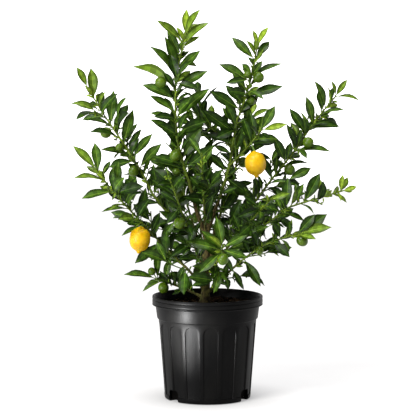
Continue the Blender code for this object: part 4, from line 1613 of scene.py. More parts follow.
@dataclass
class GrowthRule:
    """The numbers that the crown grows by.

    Attributes:
        first_seed: The first mass's seed; each next mass has the next number.
        stem_step: How far apart the points are that a stem's room is tested by.
        stem_first: How far before its bough's end a stem's first leaf may sit.
        side_radii: A side shoot's radius at its foot and tip.
        twig_spacing: How far apart the twigs are.
        twig_first: Where the first twig is, past the first leaf.
        twig_last: How far along its stem the last one may be, as a share.
        twig_reach: A twig's length, at least and at most.
        twig_shares: Its length's share at the foot and at the tip of the stem.
        twig_spread: Its angle to the stem, at least and at most.
        twig_lift: How far it bends up to the light.
        twig_radii: Its radius at its foot and tip.
        twig_tries: How a twig without room is turned.
        first_leaf: Where on a side shoot or twig its first leaf is.
        leaf_length: A blade's usual length.
        leaf_range: What a leaf may have of it, at least and at most.
        leaf_widths: Its width as a share of its length, at least and at most, on a stem and on a twig.
        leaf_spacing: How far apart the leaves are on a stem and on a twig.
        leaf_spreads: A leaf's angle to its stem, at the foot and at the tip.
        leaf_lift: How far it turns up to the light.
        leaf_bend: How far it curves down, at least and at most.
        leaf_fold: How far its halves are folded up, at least and at most.
        leaf_twist: How far it is twisted, at least and at most.
        leaf_wave: How wavy its edges are, at least and at most.
        stalks: A stalk's length as a share of its blade's, of a small leaf and of others.
        tip_loss: How much smaller leaves get towards the tip.
        tries: How a leaf without room is turned and cut down.
        light: What the upper face turns to: along the twig, up, and away from the trunk.
        light_front: And to the front, at least and at most.
        depths: How much of its reach to the front or back a leaf keeps on a stem and on a twig, which
            spreads the sprays.
        seen_lean: How far a leaf that the photograph shows apart leans to the back, as a share of its
            length, at least and at most.
        seen_widths: Its least width as a share of its length, at least and at most.
        seen_tries: How much further it leans where it has no room.
        seen_last: The lean that is tried last, even in front of a fruit.
        view_half: Half the width of the picture that is kept clear in front of a stem in view.
        view_step: How far apart the rounds are that keep it clear.
        fruit_clear: The round that is kept clear in front of a fruit, as a share of its radius.
        shown_turn: What a leaf keeps of its reach to the right, back and up where the photograph shows
            the stem's leaves apart.
        shown_scale: And of its length.
        leaflet_chance: How often small leaves sit in a leaf's axil.
        leaflet_counts: How many there are, each as likely.
        leaflet_length: A small leaf's length, at least and at most.
        small: Leaves below this length are small ones.
        youth: How young the leaves get to the tip of a stem, a side shoot and a twig.
        youth_steps: The youth that ends each tone but the last.
        space_spare: How far a leaf may reach into another mass's space.
        reach_spare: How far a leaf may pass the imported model's box.
    """
    first_seed: int = 41
    stem_step: float = 0.030
    stem_first: float = 0.012
    side_radii: Span = (0.0027, 0.0015)
    twig_spacing: float = 0.042
    twig_first: float = 0.014
    twig_last: float = 0.84
    twig_reach: Span = (0.055, 0.100)
    twig_shares: Span = (1.15, 0.50)
    twig_spread: Span = (38.0, 52.0)
    twig_lift: float = 0.22
    twig_radii: Span = (0.0020, 0.0013)
    twig_tries: tuple[float, ...] = (0.0, 70.0, 140.0, 215.0)
    first_leaf: float = 0.014
    leaf_length: float = 0.0690
    leaf_range: Span = (0.74, 1.12)
    leaf_widths: tuple[Span, Span] = ((0.31, 0.41), (0.36, 0.47))
    leaf_spacing: Span = (0.0118, 0.0138)
    leaf_spreads: Span = (62.0, 38.0)
    leaf_lift: float = 0.16
    leaf_bend: Span = (0.25, 1.05)
    leaf_fold: Span = (0.28, 0.68)
    leaf_twist: Span = (-0.35, 0.35)
    leaf_wave: Span = (0.01, 0.06)
    stalks: Span = (0.08, 0.11)
    tip_loss: float = 0.24
    tries: tuple[Span, ...] = (
        (0.0, 1.0), (38.0, 0.95), (-52.0, 0.90), (80.0, 0.82), (130.0, 0.86), (-110.0, 0.72))
    light: Triple = (0.40, 0.45, 0.35)
    light_front: Span = (0.35, 1.15)
    depths: Span = (0.45, 0.75)
    seen_lean: Span = (-0.30, 0.15)
    seen_widths: Span = (0.33, 0.39)
    seen_tries: tuple[float, ...] = (0.0, 0.25, -0.25, 0.50, 0.75, -0.50)
    seen_last: float = -0.8
    view_half: float = 0.0036
    view_step: float = 0.008
    fruit_clear: float = 1.04
    shown_turn: Triple = (0.52, 2.6, 0.68)
    shown_scale: float = 0.82
    leaflet_chance: float = 0.92
    leaflet_counts: tuple[int, ...] = (2, 2, 3, 4)
    leaflet_length: Span = (0.010, 0.0239)
    small: float = 0.024
    youth: Triple = (0.62, 0.50, 0.36)
    youth_steps: tuple[float, ...] = (0.28, 0.58, 0.86, 1.14)
    space_spare: float = 0.010
    reach_spare: float = 0.009


# Where the photograph shows sky through the crown: middle and radius, seen on the plane y = 0
SKY_GAPS: tuple[Triple, ...] = (
    (-0.118, 0.650, 0.022), (-0.111, 0.623, 0.010), (-0.143, 0.635, 0.010), (-0.001, 0.802, 0.025),
    (0.014, 0.774, 0.015), (0.036, 0.804, 0.017), (0.176, 0.662, 0.015), (0.183, 0.707, 0.017),
    (0.171, 0.695, 0.015), (0.205, 0.752, 0.022), (-0.263, 0.426, 0.030), (-0.225, 0.331, 0.037),
    (-0.050, 0.478, 0.017), (-0.042, 0.520, 0.006), (-0.101, 0.568, 0.009), (-0.143, 0.528, 0.010),
    (-0.176, 0.535, 0.012), (-0.136, 0.476, 0.009), (-0.081, 0.324, 0.015), (-0.151, 0.334, 0.012),
    (0.015, 0.700, 0.009), (-0.004, 0.640, 0.016), (0.024, 0.627, 0.006), (0.026, 0.588, 0.009),
    (0.096, 0.545, 0.016), (0.143, 0.563, 0.010), (0.148, 0.618, 0.014), (0.158, 0.528, 0.010),
    (0.230, 0.473, 0.012), (0.255, 0.481, 0.012), (0.225, 0.431, 0.011), (0.148, 0.421, 0.012),
    (0.138, 0.401, 0.007), (0.108, 0.371, 0.011), (0.086, 0.316, 0.014), (0.036, 0.279, 0.009),
    (0.068, 0.274, 0.009), (0.051, 0.326, 0.006), (0.068, 0.500, 0.009), (0.014, 0.523, 0.007),
    (0.021, 0.508, 0.006), (0.305, 0.473, 0.020), (0.355, 0.481, 0.022), (-0.126, 0.438, 0.007),
    (-0.118, 0.341, 0.005), (0.131, 0.331, 0.015), (0.161, 0.341, 0.020), (-0.143, 0.401, 0.006),
    (-0.248, 0.615, 0.010), (-0.026, 0.408, 0.005), (-0.044, 0.378, 0.006), (-0.054, 0.431, 0.007),
    (-0.036, 0.700, 0.007), (-0.006, 0.675, 0.007), (0.233, 0.505, 0.007), (0.188, 0.483, 0.005)
)


class Crown:
    """All that has grown so far, the space that each mass keeps to, and what stays in sight."""

    def __init__(self) -> None:
        """Start with nothing grown."""
        self.grown: list[tuple[BVHTree, Vector, float]] = []
        self.lines: dict[str, Path] = {}
        self.own: dict[str, KDTree] = {}
        self.others: dict[str, KDTree] = {}
        self.stems_shown: list[Round] = []
        self.fruit_shown: list[Round] = []

    def share_out(self) -> None:
        """Give each mass the space that lies nearest to its own lines."""
        for name, line in self.lines.items():
            self.own[name] = point_tree(line)
            self.others[name] = point_tree([point for other in self.lines if other != name
                                            for point in self.lines[other]])

    @staticmethod
    def keep_clear(rounds: list[Round], middle: Vector, radius: float) -> None:
        """Keep a round of the picture clear in front of a place.

        Args:
            rounds: The list that it goes to: each one's middle on the plane y = 0, its distance
                and its radius.
            middle: The place.
            radius: The round's radius.
        """
        seen = Studio.seen(middle)
        rounds.append((seen.x, seen.z, middle.y, radius))

    @staticmethod
    def hides(corners: Iterable[Vector], rounds: list[Round]) -> bool:
        """Whether one of many corners lies in front of a round that is kept clear.

        Args:
            corners: The corners.
            rounds: The rounds, as keep_clear makes them.

        Returns:
            True where one does.
        """
        places = [(Studio.seen(corner), corner.y) for corner in corners]
        return any((seen.x - x) ** 2 + (seen.z - z) ** 2 < radius ** 2 and depth < y
                   for x, z, y, radius in rounds for seen, depth in places)

    @staticmethod
    def in_gap(point: Vector) -> bool:
        """Whether a point hides one of the gaps that the photograph shows."""
        seen = Studio.seen(point)
        return any((seen.x - x) ** 2 + (seen.z - z) ** 2 < radius ** 2 for x, z, radius in SKY_GAPS)

    @staticmethod
    def in_reach(corners: Iterable[Vector], spare: float) -> bool:
        """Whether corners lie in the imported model's box.

        Args:
            corners: The corners.
            spare: How far they may reach past it.

        Returns:
            True where all of them do.
        """
        low, high = CAD_BOX
        return all(low[axis] - spare < corner[axis] < high[axis] + spare
                   for corner in corners for axis in range(3))

    def in_space(self, name: str, corners: Iterable[Vector], spare: float) -> bool:
        """Whether corners lie in a mass's own space, or no further over its border than the spare."""
        own, others = self.own[name], self.others[name]
        return all(own.find(corner)[2] < others.find(corner)[2] + spare for corner in corners)

    @staticmethod
    def ball(corners: Path) -> tuple[Vector, float]:
        """The middle of corners, and how far they reach from it."""
        middle = sum(corners, Vector()) / len(corners)
        return middle, max((corner - middle).length for corner in corners)

    def add(self, shape: Shape) -> int:
        """Note a shape as grown, and give its number."""
        self.grown.append((BVHTree.FromPolygons(*shape), *self.ball(shape[0])))
        return len(self.grown) - 1

    def is_clear(self, shape: Shape, carrier: int) -> bool:
        """Whether a shape crosses nothing that has grown, but for what carries it.

        Args:
            shape: The shape.
            carrier: The number of what carries it.

        Returns:
            True where it crosses nothing.
        """
        middle, reach = self.ball(shape[0])
        tree = BVHTree.FromPolygons(*shape)
        near = (other for number, (other, centre, other_reach) in enumerate(self.grown)
                if number != carrier and (centre - middle).length <= reach + other_reach)
        return not any(tree.overlap(other) for other in near)


class Mass:
    """One mass of foliage: a stem, its side shoots and twigs, its fruit and its leaves."""

    def __init__(self, shoot: Shoot, path: Path, crown: Crown, rule: GrowthRule, limbs: Limbs,
                 seed: int) -> None:
        """Start a mass on its shoot.

        Args:
            shoot: The shoot that carries it.
            path: The shoot's middle line.
            crown: The crown that it shares.
            rule: The numbers that it grows by.
            limbs: The limbs that its stem goes on from.
            seed: The seed of its draws.
        """
        self.shoot = shoot
        self.path = path
        self.crown = crown
        self.rule = rule
        self.limbs = limbs
        self.draw = random.Random(seed)
        self.axes: list[Axis] = []
        self.leaves: list[Leaf] = []
        self.fruit: list[Hanging] = []

    def grow_stem(self) -> None:
        """Grow the stem on from its bough, then the named side shoots and the fruit."""
        shoot, rule = self.shoot, self.rule
        points, distances = stretch(self.path, shoot.bare - self.limbs.overlap, shoot.length, rule.stem_step)
        radii = [self.limbs.shoot_radius(shoot, distance) for distance in distances]
        number = self.crown.add(tube(points, radii, 4))
        first = shoot.bare - rule.stem_first
        self.axes.append(Axis(self.path, (radii[0], radii[-1]), number, first, 0, shoot.name))
        self.show(self.path, shoot)
        for index, side in enumerate(shoot.sides):
            path = shoot_path(along_path(self.path, side.along)[0], side)
            number = self.crown.add(tube([path[0], path[-1]], rule.side_radii, 4))
            name = f"{shoot.name}.{index}"
            self.axes.append(Axis(path, rule.side_radii, number, rule.first_leaf, 1, name))
            self.show(path, side)

    def show(self, path: Path, shoot: Shoot | SideShoot) -> None:
        """Keep the stretch of a stem that is in view clear, and hang the stem's fruit.

        Args:
            path: The stem's middle line.
            shoot: What it belongs to.
        """
        if shoot.in_view:
            for point in stretch(path, *shoot.in_view, self.rule.view_step)[0]:
                self.crown.keep_clear(self.crown.stems_shown, point, self.rule.view_half)
        for spot in shoot.fruit:
            across, half = spot.kind.value
            root = along_path(path, spot.along)[0]
            middle = root + Vector(spot.hang)
            down = (middle - root).normalized()
            if spot.kind is LEMON:
                down = (down - UP).normalized()
            self.fruit.append(Hanging(spot.kind, root, middle, down))
            self.crown.keep_clear(self.crown.fruit_shown, middle, across * self.rule.fruit_clear)
            side = down.orthogonal().normalized()
            rim = circle(middle, side, down.cross(side), across, 8)
            self.crown.add(spindle(middle + down * half, middle - down * half, rim))

    def outward(self, heading: Vector, turn: float, spread: float) -> Vector:
        """A direction that leaves a stem at an angle, turned about it.

        Args:
            heading: The stem's direction.
            turn: How far round the stem, in degrees.
            spread: The angle to the stem, in degrees.

        Returns:
            The direction.
        """
        level = heading.cross(UP)
        level = level.normalized() if level.length > 0.05 else Vector((1.0, 0.0, 0.0))
        upper = level.cross(heading).normalized()
        angle, tilt = math.radians(turn), math.radians(spread)
        side = math.cos(angle) * level + math.sin(angle) * upper
        return (heading * math.cos(tilt) + side * math.sin(tilt)).normalized()

    def foreshorten(self, outward: Vector, axis: Axis, distance: float) -> Vector:
        """Turn a direction to the front or back where the photograph shows the stem's leaves apart.

        Args:
            outward: The direction.
            axis: The stem.
            distance: How far along it.

        Returns:
            The new direction.
        """
        if distance < axis.shown_from:
            return outward
        right, back, up = self.rule.shown_turn
        return Vector((outward.x * right, outward.y * back, outward.z * up)).normalized()

    def keep(self, leaf: Leaf, shape: Shape, axis: Axis) -> None:
        """Add a leaf that has room.

        Args:
            leaf: The leaf.
            shape: Its rough shape.
            axis: What carries it.
        """
        self.leaves.append(leaf)
        self.crown.add(shape)
        axis.leaves += 1

    def grow_seen_leaves(self) -> None:
        """Set the leaves that the photograph shows apart, leaning so that each has room."""
        crown, rule = self.crown, self.rule
        for axis in self.axes:
            for along, tip_x, tip_z, shown, tone in SEEN_LEAVES.get(axis.name, ()):
                stem = along_path(axis.path, along / 1000)[0]
                lean = self.draw.uniform(*rule.seen_lean)
                width = max(shown / 100, self.draw.uniform(*rule.seen_widths))
                tip = Studio.at_depth(Vector((tip_x / 1000, 0.0, tip_z / 1000)), stem.y)
                for depth in [lean + more for more in rule.seen_tries] + [rule.seen_last]:
                    leaf = self.seen_leaf(stem, tip, depth, (shown / 100, width), list(LeafTone)[tone])
                    shape = leaf.outline()
                    is_last = depth <= rule.seen_last
                    in_sight = is_last or not crown.hides(self.spread_points(shape), crown.fruit_shown)
                    in_reach = crown.in_reach(shape[0][1:], rule.reach_spare)
                    if in_reach and in_sight and crown.is_clear(shape, axis.carrier):
                        self.keep(leaf, shape, axis)
                        break

    def seen_leaf(self, stem: Vector, tip: Vector, depth: float, widths: Span, tone: LeafTone) -> Leaf:
        """A leaf whose tip is seen at a place in the photograph.

        Args:
            stem: Where its stalk leaves the stem.
            tip: Its tip, at the stem's own distance from the camera.
            depth: How far it leans to the back, as a share of its length.
            widths: How wide it looks, and how wide it is, as shares of its length.
            tone: Its colours.

        Returns:
            The leaf.
        """
        draw = self.draw
        stalk = self.rule.stalks[1]
        flat = tip - stem
        aim = Studio.at_depth(tip, stem.y + depth * flat.length) - stem
        turned = min(1.0, 1.1 * widths[0] / widths[1])
        upper = Vector((-flat.z, 0.0, flat.x)).normalized()
        upper = upper if upper.z > 0.0 else -upper
        facing = Vector((0.0, -turned, 0.0)) + upper * math.sqrt(1.0 - 0.96 * turned * turned)
        facing = (facing - facing.project(aim)).normalized()
        bend = draw.uniform(0.45, 0.85) if turned < 0.8 else draw.uniform(0.20, 0.60)
        drop = (1.0 - math.cos(bend)) / bend
        run = math.sin(bend) / bend + stalk
        swing = math.atan2(drop, run)
        heading = (aim.normalized() * math.cos(swing) + facing * math.sin(swing)).normalized()
        length = aim.length / math.hypot(run, drop)
        return Leaf(stem, heading, facing, stalk * length, length, tone, widths[1], bend,
                    draw.uniform(0.35, 0.68), draw.uniform(-0.15, 0.15), draw.uniform(0.01, 0.05),
                    draw.uniform(0.0, math.tau))

    def grow_twigs(self) -> None:
        """Branch short twigs off the stem and its side shoots."""
        rule = self.rule
        for axis in list(self.axes):
            length = path_length(axis.path)
            distance = axis.first + rule.twig_first
            turn = self.draw.uniform(0.0, 360.0)
            while distance < length * rule.twig_last:
                turn += LEAF_TURN + self.draw.uniform(-25.0, 25.0)
                share = mix(*rule.twig_shares, distance / length)
                share *= rule.shown_scale if distance > axis.shown_from else 1.0
                self.grow_twig(axis, distance, turn, self.draw.uniform(*rule.twig_reach) * share)
                distance += rule.twig_spacing * self.draw.uniform(0.85, 1.2)

    def grow_twig(self, axis: Axis, distance: float, turn: float, reach: float) -> None:
        """Grow one twig, if it keeps to its mass's space and crosses nothing.

        Args:
            axis: What carries it.
            distance: How far along that it leaves.
            turn: How far round, in degrees.
            reach: Its length.
        """
        rule = self.rule
        root, heading = along_path(axis.path, distance)
        for more in rule.twig_tries:
            outward = self.outward(heading, turn + more, self.draw.uniform(*rule.twig_spread))
            outward = self.foreshorten(outward, axis, distance)
            bend = (outward + UP * rule.twig_lift).normalized()
            elbow = root + outward * (0.5 * reach)
            points = [root, elbow, elbow + bend * (0.5 * reach)]
            shape = tube(points, (*rule.twig_radii, rule.twig_radii[1]), 3)
            in_space = self.crown.in_space(self.shoot.name, points[1:], 0.0)
            if in_space and self.crown.is_clear(shape, axis.carrier):
                self.axes.append(Axis(points, rule.twig_radii, self.crown.add(shape), rule.first_leaf, 2))
                return

    def grow_leaves(self) -> None:
        """Set leaves along every stem and twig, and one at each tip."""
        rule = self.rule
        for axis in self.axes:
            length = path_length(axis.path)
            turn = self.draw.uniform(0.0, 360.0)
            tip, heading = along_path(axis.path, length)
            size = rule.leaf_length * self.draw.uniform(0.84, 1.02)
            any(self.try_leaf(tip - heading * 0.002, heading, heading, size * scale, axis, 1.0)
                for scale in (1.0, 0.9, 0.8, 0.7) if axis.shown_from > length)
            distance = axis.first
            while distance < length - 0.005:
                root, heading = along_path(axis.path, distance)
                share = distance / length
                turn += LEAF_TURN + self.draw.uniform(-16.0, 16.0)
                size = rule.leaf_length * (1.05 - rule.tip_loss * share ** 3)
                size *= self.draw.uniform(*rule.leaf_range)
                spread = mix(*rule.leaf_spreads, share) + self.draw.uniform(-10.0, 10.0)
                for lean, scale in rule.tries:
                    outward = self.outward(heading, turn + lean, spread) + UP * rule.leaf_lift
                    outward.y *= rule.depths[axis.is_twig]
                    outward = self.foreshorten(outward.normalized(), axis, distance)
                    scale *= rule.shown_scale if distance > axis.shown_from else 1.0
                    if self.try_leaf(root, outward, heading, size * scale, axis, share):
                        break
                if self.draw.random() < rule.leaflet_chance:
                    self.grow_leaflets(root, heading, turn + 20.0, axis, share)
                distance += rule.leaf_spacing[axis.is_twig] * self.draw.uniform(0.88, 1.15)

    def grow_leaflets(self, root: Vector, heading: Vector, turn: float, axis: Axis, share: float) -> None:
        """Set two to four small leaves in the axil of a leaf.

        Args:
            root: Where on the stem.
            heading: The stem's direction there.
            turn: How far round the stem.
            axis: The stem.
            share: How far along it, as a share.
        """
        for index in range(self.draw.choice(self.rule.leaflet_counts)):
            lean = turn + self.draw.uniform(-90.0, 90.0)
            outward = self.outward(heading, lean, self.draw.uniform(24.0, 75.0))
            size = self.draw.uniform(*self.rule.leaflet_length) * (0.75 if index else 1.0)
            self.try_leaf(root, outward, heading, size, axis, min(1.0, share + 0.25))

    def tone(self, axis: Axis, share: float, size: float) -> LeafTone:
        """A leaf's tone by its place: old inside the crown, young at the tips.

        Args:
            axis: What carries it.
            share: How far along that, as a share.
            size: The leaf's length.

        Returns:
            The tone.
        """
        youth = self.rule.youth[axis.order] * share ** 1.6 + self.draw.uniform(0.0, 0.52)
        youth += self.shoot.fresh + (0.34 if size < self.rule.small else 0.0)
        youth += 0.30 if axis.order == 0 and share > 0.90 else 0.0
        return list(LeafTone)[sum(youth >= step for step in self.rule.youth_steps)]

    def try_leaf(self, stem: Vector, outward: Vector, heading: Vector, size: float, axis: Axis,
                 share: float) -> bool:
        """Add a leaf if it keeps to its mass's space, leaves the sky open and crosses nothing.

        Args:
            stem: Where on the stem.
            outward: The way that it sets out.
            heading: The stem's direction there.
            size: Its blade's length.
            axis: What carries it.
            share: How far along that, as a share.

        Returns:
            Whether it was added.
        """
        draw, rule, crown = self.draw, self.rule, self.crown
        forward, up, away = rule.light
        facing = heading * forward + Vector((0.0, -draw.uniform(*rule.light_front), up))
        facing += Vector((stem.x, stem.y, 0.0)).normalized() * away
        if facing.cross(outward).length < 0.25:
            facing = Vector((0.3, -1.0, 0.6))
        small = size < rule.small
        leaf = Leaf(stem, outward, facing, size * rule.stalks[not small], size, self.tone(axis, share, size),
                    draw.uniform(*rule.leaf_widths[axis.is_twig]), draw.uniform(*rule.leaf_bend),
                    draw.uniform(*rule.leaf_fold), draw.uniform(*rule.leaf_twist),
                    draw.uniform(*rule.leaf_wave), draw.uniform(0.0, math.tau))
        shape = leaf.outline()
        corners, points = shape[0][1:], self.spread_points(shape)
        has_room = (not any(crown.in_gap(corner) for corner in corners)
                    and not crown.hides(points, crown.fruit_shown)
                    and (small or not crown.hides(points, crown.stems_shown))
                    and crown.in_reach(corners, rule.reach_spare)
                    and crown.in_space(self.shoot.name, corners, rule.space_spare)
                    and crown.is_clear(shape, axis.carrier))
        if has_room:
            self.keep(leaf, shape, axis)
        return has_room

    @staticmethod
    def spread_points(shape: Shape) -> Path:
        """Points spread over a leaf's rough shape.

        Args:
            shape: The rough shape.

        Returns:
            Its tip and margins, and points between its four ends.
        """
        root, tip, left, right = shape[0][:4]
        lines = ((root, tip), (root, left), (root, right), (left, tip), (right, tip), (left, right))
        return [tip, left, right] + [one.lerp(other, share) for one, other in lines for share in (0.33, 0.66)]


@dataclass
class LeafPattern:
    """The shape that every leaf is cut by: root, rings of seven corners, and tip.

    Attributes:
        stations: Where along the blade each ring is, and its half width there as a share.
        shares: Where across the blade a ring's margins and veins are. Its other corners are the two
            sides of the midrib, between them, and the midrib's keel.
        wears: The material's number of each of the five strips of the upper face; the two outer strips wear
            the painted shade of the edge.
        between: The one that every other ring of the blade wears: lighter vein bands that are partly a
            painted sheen.
        under: The one that the underside wears.
        rib_half: Half the midrib's width at the root of the blade.
        rib_depth: How far the midrib stands out below.
        full_rib: The length from which a leaf has its full midrib.
        sag: How far the margins bend down, as a share of the half width.
        vein_slant: How far the margins run ahead of the midrib, as a share of the half width.
    """
    stations: tuple[Span, ...] = (
        (0.05, 0.20), (0.15, 0.52), (0.27, 0.83), (0.40, 1.00), (0.54, 0.97), (0.68, 0.78), (0.81, 0.48),
        (0.91, 0.22))
    shares: tuple[float, ...] = (-1.0, -0.58, 0.58, 1.0)
    wears: tuple[int, ...] = (3, 0, 2, 0, 3)
    between: int = 4
    under: int = 1
    rib_half: float = 0.00092
    rib_depth: float = 0.00065
    full_rib: float = 0.045
    sag: float = 0.08
    vein_slant: float = 0.45

    def faces(self) -> tuple[Faces, list[int]]:
        """The pattern's faces, and which of the leaf's materials each wears.

        Returns:
            The faces and the materials' numbers.
        """
        rings = len(self.stations)
        tip = 1 + 7 * rings
        *lows, last = range(1, tip, 7)
        faces: Faces = []
        slots: list[int] = []
        for column, wears in enumerate(self.wears):
            faces.append((0, 1 + column, 2 + column))
            faces += [(low + column, low + column + 7, low + column + 8, low + column + 1) for low in lows]
            faces.append((last + column, tip, last + column + 1))
            slots += [self.between if wears == 0 and ring % 2 else wears for ring in range(rings + 1)]
        for edge, keel in ((0, 6), (6, 5)):
            faces.append((0, 1 + keel, 1 + edge))
            faces += [(low + edge, low + keel, low + keel + 7, low + edge + 7) for low in lows]
            faces.append((last + edge, last + keel, tip))
            slots += [self.under] * (rings + 1)
        return faces, slots

    def corners(self, leaf: Leaf) -> np.ndarray:
        """A leaf's corners.

        Args:
            leaf: The leaf.

        Returns:
            The corners, one row each.
        """
        heading = np.array(leaf.heading)
        across = np.cross(np.array(leaf.facing), heading)
        across /= np.linalg.norm(across)
        normal = np.cross(heading, across)
        root = np.array(leaf.root)
        bend = max(leaf.bend, 1e-3)
        arc = leaf.length / bend
        scale = min(1.0, leaf.length / self.full_rib)
        rows = [root]
        for place, half_share in self.stations:
            angle, turn = bend * place, leaf.twist * place
            middle = root + arc * (heading * math.sin(angle) + normal * (math.cos(angle) - 1.0))
            ahead = heading * math.cos(angle) - normal * math.sin(angle)
            upper = normal * math.cos(angle) + heading * math.sin(angle)
            side = across * math.cos(turn) + upper * math.sin(turn)
            upper = upper * math.cos(turn) - across * math.sin(turn)
            half = leaf.length * leaf.width / 2 * half_share
            rib = side * (self.rib_half * scale * (1.0 - 0.75 * place))
            fold = leaf.fold * (1.0 - 0.35 * place)
            ring = []
            for share in self.shares:
                wave = leaf.wave * math.sin(leaf.phase + math.copysign(1.3, share) + 13.0 * place)
                lift = abs(share) * (math.sin(fold) + wave) - self.sag * share * share
                slant = self.vein_slant * abs(share) * half * math.sin(math.pi * place)
                aside = side * (share * half * math.cos(fold))
                ring.append(middle + aside + upper * (half * lift) + ahead * slant)
            keel = middle - upper * (self.rib_depth * scale * (1.0 - 0.6 * place))
            rows += [*ring[:2], middle - rib, middle + rib, *ring[2:], keel]
        rows.append(root + arc * (heading * math.sin(bend) + normal * (math.cos(bend) - 1.0)))
        return np.array(rows)


@dataclass
class Foliage:
    """The whole crown: stems, twigs and leaves that grow on from the limbs.

    Attributes:
        limbs: The limbs that it grows on from.
        rule: The numbers that it grows by.
        pattern: The shape of its leaves.
        twig_finishes: What a twig and an old leaf's stalk wear, and what a young one's does.
        twig_swell: How much wider a twig is at its foot.
        stalk_radii: The radius of a small leaf's stalk and of another's.
        stalk_taper: The share of it at the stalk's foot and at the blade.
        unevenness: How far the radius of a stem may be off, and how far its line wanders.
    """
    limbs: Limbs
    rule: GrowthRule = field(default_factory=GrowthRule)
    pattern: LeafPattern = field(default_factory=LeafPattern)
    twig_finishes: tuple[WaxFinish, WaxFinish] = (
        WaxFinish("green_twig", (0.050, 0.090, 0.012), 0.5),
        WaxFinish("young_stalk", (0.115, 0.180, 0.024), 0.5))
    twig_swell: float = 1.35
    stalk_radii: Span = (0.00080, 0.00125)
    stalk_taper: Span = (1.3, 0.8)
    unevenness: Triple = (0.94, 1.10, 0.00035)

    def grow(self, paths: dict[str, Path]) -> list[Mass]:
        """Grow every mass, in turns so that all share the room between them.

        Args:
            paths: Each shoot's middle line.

        Returns:
            The masses.
        """
        crown, limbs, pot = Crown(), self.limbs, NurseryPot()
        heights = [SOIL_TOP, 0.26, 0.30, 0.35, TRUNK_FORK]
        crown.add(tube([limbs.trunk_point(height) for height in heights],
                       [limbs.trunk_radius(height) for height in heights], 8))
        for shoot in SHOOTS:
            points, distances = stretch(paths[shoot.name], 0.0, shoot.bare, 0.02)
            crown.add(tube(points, [limbs.shoot_radius(shoot, distance) for distance in distances], 5))
        crown.add(tube([Vector(), UP * pot.height], [pot.rim_radius] * 2, 24))
        masses = [Mass(shoot, paths[shoot.name], crown, self.rule, limbs, self.rule.first_seed + index)
                  for index, shoot in enumerate(SHOOTS)]
        for mass in masses:
            mass.grow_stem()
            crown.lines[mass.shoot.name] = [point for axis in mass.axes for point in axis.path[2:]]
        crown.share_out()
        for grow in (Mass.grow_seen_leaves, Mass.grow_twigs, Mass.grow_leaves):
            for mass in masses:
                grow(mass)
        return masses

    def stems(self, masses: list[Mass]) -> None:
        """Join and dress the stems and side shoots, with small swellings where leaves sit.

        Args:
            masses: The masses.
        """
        sides = 9
        thin, thick, wander = self.unevenness
        pile = MeshPile()
        for mass in masses:
            draw = random.Random(mass.shoot.name)
            for axis in (axis for axis in mass.axes if not axis.is_twig):
                length = path_length(axis.path)
                begin = mass.shoot.bare - 0.006 if axis.order == 0 else 0.0
                points, distances = stretch(axis.path, begin, length, 0.0055)
                if axis.order == 0:
                    radii = [self.limbs.shoot_radius(mass.shoot, distance) for distance in distances]
                    ages = [self.limbs.age(mass.shoot, distance) for distance in distances]
                else:
                    radii = [mix(*axis.radii, distance / length) for distance in distances]
                    ages = [0.25 * (1.0 - distance / length) for distance in distances]
                radii = [radius * draw.uniform(thin, thick) for radius in radii]
                shifts = [Vector((draw.uniform(-1, 1), draw.uniform(-1, 1), 0.0)) * wander for _ in points]
                points[1:] = [point + shift for point, shift in zip(points[1:], shifts[1:])]
                pile.add(*tube(points, radii, sides), ages=[age for age in ages for _ in range(sides)])
        dress(pile.build("leafy_stems", 60.0), [BarkFinish("young_bark")], "bark", *FOLIAGE_NODES)

    def twigs(self, masses: list[Mass]) -> None:
        """Join and dress the twigs and the leaves' stalks.

        Args:
            masses: The masses.
        """
        pile = MeshPile()
        for mass in masses:
            for axis in (axis for axis in mass.axes if axis.is_twig and axis.leaves):
                length = path_length(axis.path)
                bent = self.rounded(axis.path)
                points, distances = stretch(bent, 0.0, path_length(bent), 0.012)
                radii = [mix(*axis.radii, min(1.0, distance / length)) for distance in distances]
                radii[0] *= self.twig_swell
                pile.add(*tube(points, radii, 6))
            for leaf in mass.leaves:
                thick = self.stalk_radii[leaf.length > self.rule.small]
                points = [leaf.stem - leaf.heading * 0.0006, leaf.root + leaf.heading * (0.05 * leaf.length)]
                young = leaf.tone in (LeafTone.FRESH, LeafTone.TENDER)
                pile.add(*tube(points, [thick * share for share in self.stalk_taper], 4), int(young))
        dress(pile.build("twigs_and_stalks", 60.0), self.twig_finishes, "foliage", *FOLIAGE_NODES)

    @staticmethod
    def rounded(path: Path) -> Path:
        """A bent path, rounded at its elbow.

        Args:
            path: Its foot, elbow and tip.

        Returns:
            Seven points from foot to tip.
        """
        foot, elbow, tip = path
        shares = [step / 6 for step in range(7)]
        return [foot * (1 - t) ** 2 + elbow * (2 * t * (1 - t)) + tip * t ** 2 for t in shares]

    def leaves(self, masses: list[Mass]) -> None:
        """Join and dress the leaves of each tone.

        Args:
            masses: The masses.
        """
        faces, slots = self.pattern.faces()
        for tone in LeafTone:
            pile = MeshPile()
            for leaf in (leaf for mass in masses for leaf in mass.leaves if leaf.tone is tone):
                pile.add(self.pattern.corners(leaf), faces, slots)
            LOG.info("%s leaves: %d", tone.label, len(pile.corners))
            dress(pile.build(f"leaves_{tone.label}", 17.0), tone.finishes(), "foliage", *FOLIAGE_NODES)


# ---------------------------------------------------------------- fruit


